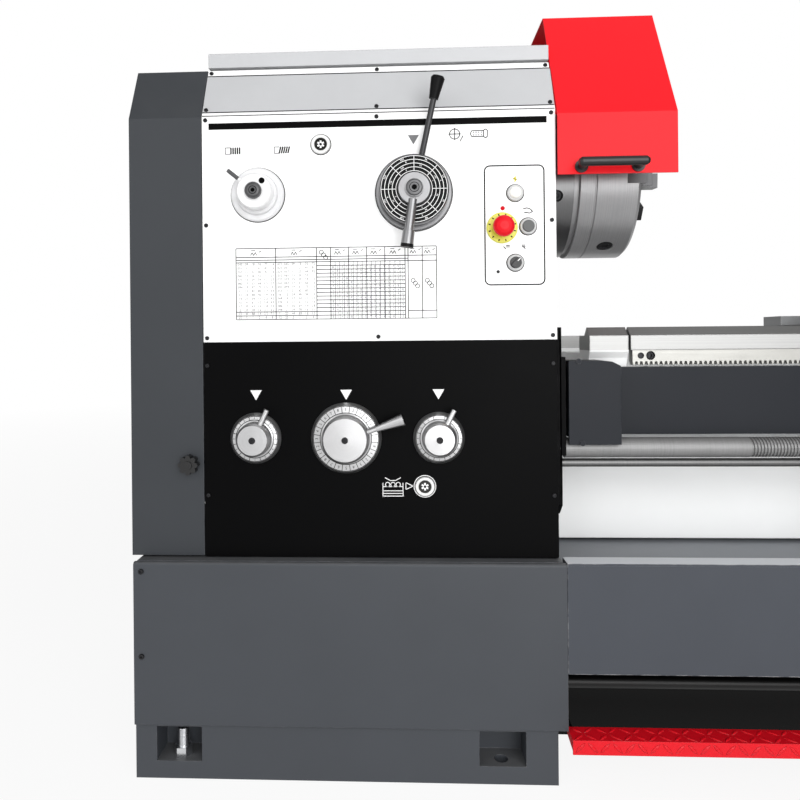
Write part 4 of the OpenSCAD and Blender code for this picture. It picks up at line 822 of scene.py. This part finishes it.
def turned_metal(name, colour, rough, centre, axis, lines_scale=900.0, metallic=1.0, radius=0.001,
                 shade=0.18):
    """Metal turned in a lathe: rings at equal sums of the radius and the length along its axis."""
    material, tree, surface = fresh_material(name, metallic=metallic)
    place = object_place(tree)
    offset = join(tree, "VectorMath", {1: tuple(centre)}, {0: place}, operation="SUBTRACT").outputs[0]
    sweep = combine(tree, "ADD", along_axis(tree, offset, axis), reach_from(tree, place, centre, axis))
    rings = join(tree, "TexNoise", {"Scale": lines_scale, "Detail": 3.0}, {"W": sweep}, noise_dimensions="1D")
    stain = join(tree, "TexNoise", {"Scale": 18.0, "Detail": 5.0, "Roughness": 0.6}, {"Vector": place})
    edge = effect(tree, edges, Radius=radius, Amount=0.6)
    body = cloudy(tree, rings.outputs["Fac"], colour, 1 - shade, 1 + shade)
    soiled = join(tree, "MapRange", {"From Min": 0.45, "From Max": 0.75, "To Max": 0.35},
                  {"Value": stain.outputs["Fac"]})
    body = blend_colour(tree, soiled.outputs["Result"], body, shaded(colour, 0.7))
    body = blend_colour(tree, edge.outputs["Rubbed"], body, shaded(colour, 1.5))
    tree.links.new(body, surface.inputs["Base Color"])
    vary(tree, surface, "Roughness", rings.outputs["Fac"], rough - 0.08, rough + 0.1)
    relief(tree, surface, rings.outputs["Fac"], edge.outputs["Normal"], 0.00003)
    return material


for name in ("motor_pulley", "input_pulley"):
    dress(turned_metal(name + "_iron", (0.23, 0.235, 0.24, 1.0), 0.42, pivot[name], lengthwise), name)
for name in ("gear_upper", "gear_idler", "gear_lower"):
    dress(turned_metal(name + "_steel", (0.36, 0.355, 0.34, 1.0), 0.36, pivot[name], lengthwise), name)
dress(moulded("belt_rubber", (0.018, 0.018, 0.018, 1.0), 0.62, grain=600.0), "drive_belts")
dress(painted("end_cover_grey", screen_colour(51, 54, 58), 0.45, rub=0.8, shine=0.3), "end_cover")

# Spindle, chuck and guard: a ground cam-lock spindle nose, a turned steel chuck with three hardened jaws,
# and a folded red sheet hood over it with a black bow handle.
spindle_axis = pivot["spindle"]
dress(turned_metal("spindle_nose", (0.15, 0.15, 0.152, 1.0), 0.34, spindle_axis, lengthwise), "spindle")
dress(turned_metal("chuck_steel", (0.3, 0.3, 0.305, 1.0), 0.36, spindle_axis, lengthwise, 500.0, 0.5),
      "chuck_body")
dress(painted("red_enamel", screen_colour(230, 14, 28), 0.36, peel=420.0, rub=0.4, dusty=0.02, shine=0.18),
      "chuck_guard")
dress(plain_steel("jaw_steel", (0.07, 0.07, 0.072, 1.0), 0.34, along=(500.0, 6.0, 6.0)), "chuck_jaw_1",
      "chuck_jaw_2", "chuck_jaw_3")


def set_round(shape, x, radius, degrees):
    """A shape laid on a round body about the spindle's axis, its height outward, turned from upright."""
    turn = math.radians(degrees)
    out = np.array([0.0, -math.sin(turn), math.cos(turn)])
    return laid(shape, (x, out[1] * radius, spindle_axis[2] + out[2] * radius), (1, 0, 0),
                (0, out[2], -out[1]))


chuck_high = np.array(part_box("chuck_body")[1])
cam_x, key_x = panel_high[0] + 0.024, chuck_high[0] - 0.0525
cams = [set_round(socket_screw(0.0113, 0.006, 0.0058), cam_x, 0.1463, 48 + 60 * k) for k in range(6)]
keys = [set_round(socket_screw(0.0165, 0.0032, 0.0108, 4), key_x, 0.1537, turn + 180)
        for turn in (94, 214, 334)]
piece("cam_lock_studs", cams, black_oxide, "spindle")
piece("chuck_key_sockets", keys, black_oxide, "spindle")

# Controls of the headstock: a black speed drum with white rings and plain numbers under a steel hub and
# lever, a range lever with a black knob behind it, and a turned knob for the hand of the thread.


def two_tone(name, first, second, mask_of, metallic=(1.0, 1.0), rough=(0.34, 0.42)):
    """A piece of two materials: a mask from Object coordinates picks the second colour, gloss and metal."""
    material, tree, surface = fresh_material(name, 0.1)
    place = object_place(tree)
    mask = mask_of(tree, place)
    grain = effect(tree, skin, Cloud=45.0, Peel=1400.0)
    edge = effect(tree, edges, Radius=0.001, Amount=0.5)
    one = cloudy(tree, grain.outputs["Shade"], first, 0.86, 1.12)
    two = cloudy(tree, grain.outputs["Shade"], second, 0.86, 1.12)
    tree.links.new(blend_colour(tree, mask, one, two), surface.inputs["Base Color"])
    vary(tree, surface, "Metallic", mask, *metallic)
    vary(tree, surface, "Roughness", mask, *rough)
    relief(tree, surface, grain.outputs["Height"], edge.outputs["Normal"], 0.00003)
    return material


def around_hand(tree, place):
    """The flange of the thread-hand knob, by its distance from that knob's axis."""
    return compare(tree, "LESS_THAN", reach_from(tree, place, pivot["thread_hand"], crosswise), 0.060)


dress(two_tone("flange_finish", (0.2, 0.2, 0.205, 1.0), (0.72, 0.72, 0.73, 1.0), around_hand,
               metallic=(0.9, 0.1)), "selector_flanges")
drum_depth, drum_radius, grip_start = 0.037, 0.0645, 0.103


def hub_and_lever(tree, place):
    """The drum's side, the hub before its face and the lever beyond its rim, as far as the black grip."""
    reach = reach_from(tree, place, pivot["speed_dial"], crosswise)
    proud = compare(tree, "LESS_THAN", along_axis(tree, place, crosswise), panel_y - drum_depth - 0.0002)
    beyond = compare(tree, "GREATER_THAN", reach, drum_radius - 0.0012)
    bright = combine(tree, "MAXIMUM", proud, beyond)
    return combine(tree, "MULTIPLY", bright, compare(tree, "LESS_THAN", reach, grip_start))


soft_black = (0.004, 0.004, 0.0045, 1.0)
bright_steel = (0.24, 0.24, 0.245, 1.0)
dress(two_tone("speed_drum", soft_black, bright_steel, hub_and_lever, metallic=(0.0, 1.0),
               rough=(0.4, 0.36)), "speed_dial")


def around(shape, centre, angle, y):
    """A flat shape turned clockwise from upright, as seen from the front, and laid on a front plane."""
    right = (math.cos(angle), 0, -math.sin(angle))
    up = (math.sin(angle), 0, math.cos(angle))
    return laid(shape, (centre[0], y, centre[1]), right, up)


def flat_ring(radius, width, steps=64):
    """A printed ring of a width about the origin."""
    low, high = radius - width / 2, radius + width / 2
    return turned([(low, 0.0), (high, 0.0), (high, ink_thickness), (low, ink_thickness)], steps, ring=True)


def dial_number(text, radius, height):
    """A number standing at a radius above the origin."""
    points, faces = small_number(text, height)
    return points + [0, radius, 0], faces


face_y = panel_y - drum_depth
speed_centre = (speed_x, speed_z)
face_prints = [around(flat_ring(radius, 0.0011), speed_centre, 0, face_y)
               for radius in (0.0335, 0.0405, 0.0475, 0.0545, 0.0612)]
rays = strokes([((0.0, 0.0335), (0.0, 0.0612))], 0.0011)
face_prints += [around(plates(rays, ink_thickness), speed_centre, math.radians(a), face_y)
                for a in range(0, 360, 45)]
speeds = ["36", "50", "70", "98", "138", "190", "260", "360"]
for k in range(8):
    angle = math.radians(22.5 + 45 * k)
    face_prints.append(around(dial_number(speeds[k], 0.0579, 0.0040), speed_centre, angle, face_y))
    face_prints.append(around(dial_number(speeds[(3 * k + 2) % 8], 0.0440, 0.0034), speed_centre,
                              angle - 0.12, face_y))
    if k % 2:
        face_prints.append(around(dial_number(str(k + 1), 0.0510, 0.0038), speed_centre, angle + 0.1, face_y))
        face_prints.append(around(dial_number(str(k // 2 + 1), 0.0370, 0.0034), speed_centre, angle, face_y))
piece("speed_dial_marks", face_prints, white_ink, "speed_dial")


def lever_knob(tree, place):
    """The moulded knob on the outer end of the range lever."""
    return compare(tree, "GREATER_THAN", reach_from(tree, place, pivot["range_lever"], crosswise), 0.170)


dress(two_tone("range_lever_finish", (0.05, 0.05, 0.052, 1.0), soft_black, lever_knob, metallic=(0.7, 0.0),
               rough=(0.32, 0.4)), "range_lever")


def hand_bolt(tree, place):
    """The dark bolt before the middle of the knob's face, and the steel lever beyond its rim."""
    reach = reach_from(tree, place, pivot["thread_hand"], crosswise)
    proud = compare(tree, "LESS_THAN", along_axis(tree, place, crosswise), panel_y - 0.0421)
    bolt = combine(tree, "MULTIPLY", proud, compare(tree, "LESS_THAN", reach, 0.0158))
    return combine(tree, "MAXIMUM", bolt, compare(tree, "GREATER_THAN", reach, 0.038))


dress(two_tone("thread_hand_finish", (0.78, 0.78, 0.785, 1.0), (0.1, 0.1, 0.103, 1.0), hand_bolt,
               metallic=(0.1, 0.8), rough=(0.4, 0.36)), "thread_hand_knob")
hand_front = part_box("thread_hand_knob")[0][1]
# Painted shadow: a small black disc on the knob's face stands for the shade in an index hole.
index_hole_shadow = on_front(turned([(0.0050, 0.0), (0.0056, 0.0004), (0.0056, 0.0008)], 20), panel_y - 0.0419,
                      hand_x + 0.0155, hand_z + 0.0185)
piece("thread_hand_index_shadow", [index_hole_shadow], black_ink, "thread_hand")
# Painted shadow: thin black rings on the panel round the switches, the two flanges and the upper oil sight,
# where shade falls in the gap at their edges.
seal_shadow_places = [((lamp_x, lamp_z), 0.0163), ((jog_x, jog_z), 0.0163), ((pick_x, pick_z), 0.0163),
               ((hand_x, hand_z), 0.0519), (speed_centre, 0.0730), (sights[0], 0.0195)]
seal_shadows = [around(flat_ring(radius, 0.0016), centre, 0, panel_y) for centre, radius in seal_shadow_places]
piece("panel_seal_shadows", seal_shadows, black_ink, "frame")
# Painted highlight: a thin white ring round the lower oil sight on the black plate.
piece("sight_highlight_ring", [around(flat_ring(0.0205, 0.0014), sights[1], 0, plate_y)], white_ink, "frame")

# Gearbox dials: satin aluminium with a domed cap, a round lever and a graduated skirt of engraved black
# numbers. Their bolts, and the darker bolts of the two dials above, sit in the middle.
skirt_high, skirt_low = 0.0155, 0.014


def skirt_prints(centre, rim, cap, count, top, size):
    """Numbers and ticks round a dial's skirt, each tilted to lie on its shallow cone."""
    inner, outer = cap + 0.004, rim - 0.005
    fall = (skirt_high - skirt_low) / (outer - inner)
    shapes = []
    for k in range(count):
        angle = 2 * math.pi * k / count
        tick = plates(strokes([((0.0, inner + 0.0008), (0.0, outer - 0.0002))], 0.0011), ink_thickness)
        number = dial_number(str(k % top + 1), (inner + outer) / 2, size)
        for points, faces in (tick, number):
            tilted = points.copy()
            tilted[:, 2] += skirt_high - (points[:, 1] - inner) * fall
            turn = angle if faces is number[1] else angle + math.pi / count
            shapes.append(around((tilted, faces), centre, turn, plate_y))
    for radius, lift in ((inner + 0.0006, skirt_high), (outer - 0.0008, skirt_low)):
        points, faces = flat_ring(radius, 0.0012)
        shapes.append(around((points + [0, 0, lift + 0.00012], faces), centre, 0, plate_y))
    return shapes


def dark_bolt(body, x, y, z, radius, height, hexagon, groove):
    """A dark socket bolt on a front plane, with a black disc of painted shadow at the bottom of its socket
    and a black ring of painted shadow for a turned groove.
    """
    # Painted shadow: a black disc deep in the socket, and a black ring where the shade of a turned groove
    # falls.
    bottom, socket_shadow_faces = turned([(hexagon * 0.84, 0.0), (hexagon * 0.84, ink_thickness)], 24)
    rim, groove_shadow_faces = flat_ring(groove, 0.0012)
    shapes = [(bottom + [0, 0, height * 0.35], socket_shadow_faces), (rim + [0, 0, height], groove_shadow_faces)]
    head = on_front(socket_screw(radius, height, hexagon), y, x, z)
    piece(body + "_bolt", [head], bolt_finish, body)
    piece(body + "_bolt_shadow_marks", [on_front(shape, y, x, z) for shape in shapes], black_ink, body)


skirts = (("dial_left", 0.0485, 0.0315, 12, 6, 0.0042), ("dial_middle", 0.067, 0.044, 24, 8, 0.0058),
          ("dial_right", 0.0485, 0.0315, 12, 6, 0.0042))
for (name, rim, cap, count, top, size), centre in zip(skirts, dial_centres):
    dress(turned_metal("gear_" + name + "_satin", (0.54, 0.54, 0.545, 1.0), 0.36, pivot[name],
                       crosswise, 700.0, shade=0.08), "gear_" + name)
    piece(name + "_graduation", skirt_prints(centre, rim, cap, count, top, size), black_ink, name)
    dial_bolt = on_front(socket_screw(0.0062, 0.003, 0.0028), plate_y - 0.0409, *centre)
    piece(name + "_bolt", [dial_bolt], black_oxide, name)
bolt_finish = plain_steel("dark_bolt_steel", (0.11, 0.11, 0.113, 1.0), 0.38, along=(120.0, 120.0, 120.0))
dark_bolt("speed_dial", speed_x, panel_y - 0.0509, speed_z, 0.0155, 0.0035, 0.0055, 0.0086)
dark_bolt("thread_hand", hand_x, hand_front + 0.0001, hand_z, 0.0125, 0.003, 0.0045, 0.0070)

# Leadscrew and feed rod: a cut trapezoidal thread and a keyed rod of ground steel, along the bed's front.
# Both run from the gearbox through the apron, and turn on their own axes.
screw_low, screw_high = corners("leadscrew")
screw_axis = pivot["leadscrew"]
screw_radius, journal_radius = 0.019, 0.015
screw_start, screw_end = screw_low[0] + 0.0705, screw_high[0] - 0.0525
thread_start = 0.757
thread_pitch, thread_depth, collar = 0.006, 0.0025, 0.010


def thread_along_x(start, end, crest, depth, pitch, steps=16):
    """A trapezoidal thread: root, flank, crest and flank along a helix about X, turn joined to turn."""
    turns = np.arange(int((end - start) / pitch * steps) + 1) / steps - 1
    angle = -turns[:, None] * 2 * np.pi
    radius = (crest - depth + depth * np.array([0.0, 0.0, 1.0, 1.0, 0.0]))[None]
    shift = np.array([0.0, 0.34, 0.5, 0.84, 1.0])[None]
    x = np.clip(start + (turns[:, None] + shift) * pitch + 0 * angle, start, end)
    points = np.stack([x, radius * np.sin(angle), radius * np.cos(angle)], -1)
    return points.reshape(-1, 3), grid_faces(len(turns), 5, False)[:, ::-1].tolist()


def rod_along_x(start, end, radius, steps=32):
    """A plain round rod along X about the frame's own axis."""
    points, faces = turned([(radius, start), (radius, end)], steps)
    return points[:, [2, 0, 1]], faces


screw_shapes = [rod_along_x(screw_low[0], screw_start, journal_radius),
                rod_along_x(screw_end, screw_high[0], journal_radius),
                rod_along_x(screw_start, thread_start, screw_radius),
                rod_along_x(screw_end - collar, screw_end, screw_radius),
                thread_along_x(thread_start, screw_end - collar, screw_radius, thread_depth, thread_pitch)]
screw_shapes = [(points + [0, screw_axis[1], screw_axis[2]], faces) for points, faces in screw_shapes]
screw_steel = turned_metal("leadscrew_steel", (0.24, 0.24, 0.24, 1.0), 0.52, screw_axis, lengthwise,
                           300.0, 0.6, 0.0005)
threaded_leadscrew = piece("threaded_leadscrew", screw_shapes, screw_steel, "leadscrew")
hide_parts("leadscrew")
dress(turned_metal("feed_rod_steel", (0.14, 0.14, 0.14, 1.0), 0.4, pivot["feed_rod"], lengthwise,
                   250.0), "feed_rod")

# Carriage: a machined iron saddle, a black apron, iron slides, a hardened tool post and bright wheels
# with black moulded grips on their cranks.
machined_iron = plain_steel("machined_iron", (0.36, 0.365, 0.37, 1.0), 0.36, along=(900.0, 5.0, 900.0),
                            radius=0.002)
dress(machined_iron, "saddle", "cross_slide", "top_slide")
dress(black_enamel, "apron")
dress(plain_steel("hardened_tool_steel", (0.2, 0.2, 0.205, 1.0), 0.36, along=(6.0, 6.0, 900.0)), "tool_post")


def wheel_finish(name, axis, limit):
    """Polished wheel with a moulded grip beyond a limit along an axis."""
    def grip(tree, place):
        """The grip, from the limit outward."""
        return compare(tree, "GREATER_THAN", along_axis(tree, place, axis), limit)
    return two_tone(name, (0.68, 0.68, 0.69, 1.0), soft_black, grip, metallic=(1.0, 0.0), rough=(0.22, 0.4))


saddle_front = -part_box("saddle")[0][1]
dress(wheel_finish("apron_wheel_finish", (0.0, -1.0, 0.0), saddle_front + 0.0505), "apron_handwheel")
dress(wheel_finish("cross_handle_finish", (0.0, -1.0, 0.0), saddle_front + 0.0575), "cross_handle")
dress(wheel_finish("top_handle_finish", lengthwise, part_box("top_slide")[1][0] + 0.0365), "top_handle")

# Tailstock: a white enamelled casting that slides on the bed, with a ground steel quill and a hard centre.
# A polished handwheel with a black grip drives the quill.
dress(painted("cast_white_enamel", screen_colour(208, 209, 209), 0.45, dusty=0.05, shine=0.3), "tailstock")
dress(turned_metal("quill_steel", (0.6, 0.6, 0.605, 1.0), 0.26, spindle_axis, lengthwise, 400.0), "quill")
dress(wheel_finish("tail_wheel_finish", lengthwise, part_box("tailstock")[1][0] + 0.0475), "tailstock_wheel")

# Studio: a pale floor, large soft lamps in front and above, and the camera at the photograph's place.
# The floor and the backdrop show nearly white to the camera, and give the machine a weaker light.


def floor_material():
    """A pale matt floor that shows nearly white to the camera and keeps a soft shadow."""
    material, tree, surface = fresh_material("studio_floor")
    surface.inputs["Base Color"].default_value = (0.86, 0.86, 0.86, 1.0)
    surface.inputs["Roughness"].default_value = 0.8
    glow = join(tree, "Emission", {"Color": (1.0, 1.0, 1.0, 1.0), "Strength": 1.0})
    light = join(tree, "LightPath")
    seen = combine(tree, "MAXIMUM", light.outputs["Is Camera Ray"], light.outputs["Is Glossy Ray"])
    away = join(tree, "VectorMath", {1: floor_middle}, {0: object_place(tree)}, operation="DISTANCE")
    pale = join(tree, "MapRange", {"From Min": 2.5, "From Max": 9.0, "To Min": 0.9, "To Max": 1.0},
                {"Value": away.outputs["Value"]})
    share = combine(tree, "MULTIPLY", seen, pale.outputs["Result"])
    mixed = join(tree, "MixShader", links={0: share, 1: surface.outputs[0], 2: glow.outputs[0]})
    tree.links.new(mixed.outputs[0], tree.nodes["Material Output"].inputs["Surface"])
    return material


floor_middle, floor_reach = (1.3, 0.0, 0.0), 14.0
floor_corners = [(floor_middle[0] + x * floor_reach, y * floor_reach, -0.0005)
                 for x, y in ((-1, -1), (1, -1), (1, 1), (-1, 1))]
floor_mesh = bpy.data.meshes.new("studio_floor")
floor_mesh.from_pydata(floor_corners, [], [(0, 1, 2, 3)])
floor_mesh.materials.append(floor_material())
studio_floor = bpy.data.objects.new("studio_floor", floor_mesh)
bpy.context.scene.collection.objects.link(studio_floor)

world = bpy.data.worlds.new("studio")
bpy.context.scene.world = world
world.use_nodes = True
sky = world.node_tree
backdrop = sky.nodes["Background"]
backdrop.inputs["Color"].default_value = (1.0, 1.0, 1.0, 1.0)
ray = join(sky, "LightPath")
strength = join(sky, "MapRange", {"To Min": 0.25, "To Max": 1.0}, {"Value": ray.outputs["Is Camera Ray"]})
sky.links.new(strength.outputs["Result"], backdrop.inputs["Strength"])


def soft_lamp(name, place, target, size, watts):
    """A square soft lamp at a place, facing a target."""
    lamp = bpy.data.lights.new(name, "AREA")
    lamp.shape, lamp.size, lamp.energy = "SQUARE", size, watts
    made = bpy.data.objects.new(name, lamp)
    bpy.context.scene.collection.objects.link(made)
    made.location = place
    way = np.array(target, float) - np.array(place, float)
    made.rotation_euler = (math.atan2(math.hypot(way[0], way[1]), -way[2]), 0.0,
                           math.atan2(way[1], way[0]) - math.pi / 2)
    return made


soft_lamp("front_lamp", (1.6, -4.2, 1.95), (0.4, -0.2, 0.85), 3.8, 178.0)
soft_lamp("left_lamp", (-2.8, -3.4, 2.4), (0.2, -0.2, 0.8), 3.6, 64.0)
soft_lamp("top_lamp", (0.8, -0.8, 3.6), (0.8, 0.0, 0.9), 2.6, 10.0)
soft_lamp("low_lamp", (1.0, -3.2, 0.45), (0.6, 0.0, 0.9), 0.8, 8.0)

camera_data = bpy.data.cameras.new("camera")
camera_data.sensor_width = 36.0
camera_data.lens = 32.04
camera_data.shift_x, camera_data.shift_y = 0.0367, -0.0775
camera = bpy.data.objects.new("camera", camera_data)
bpy.context.scene.collection.objects.link(camera)
camera.location = (0.108, -1.600, 0.829)
camera_yaw, camera_roll = 0.0454, 0.009
camera.rotation_euler = (math.pi / 2, camera_roll, camera_yaw)
bpy.context.scene.camera = camera
bpy.context.scene.view_settings.view_transform = "Standard"
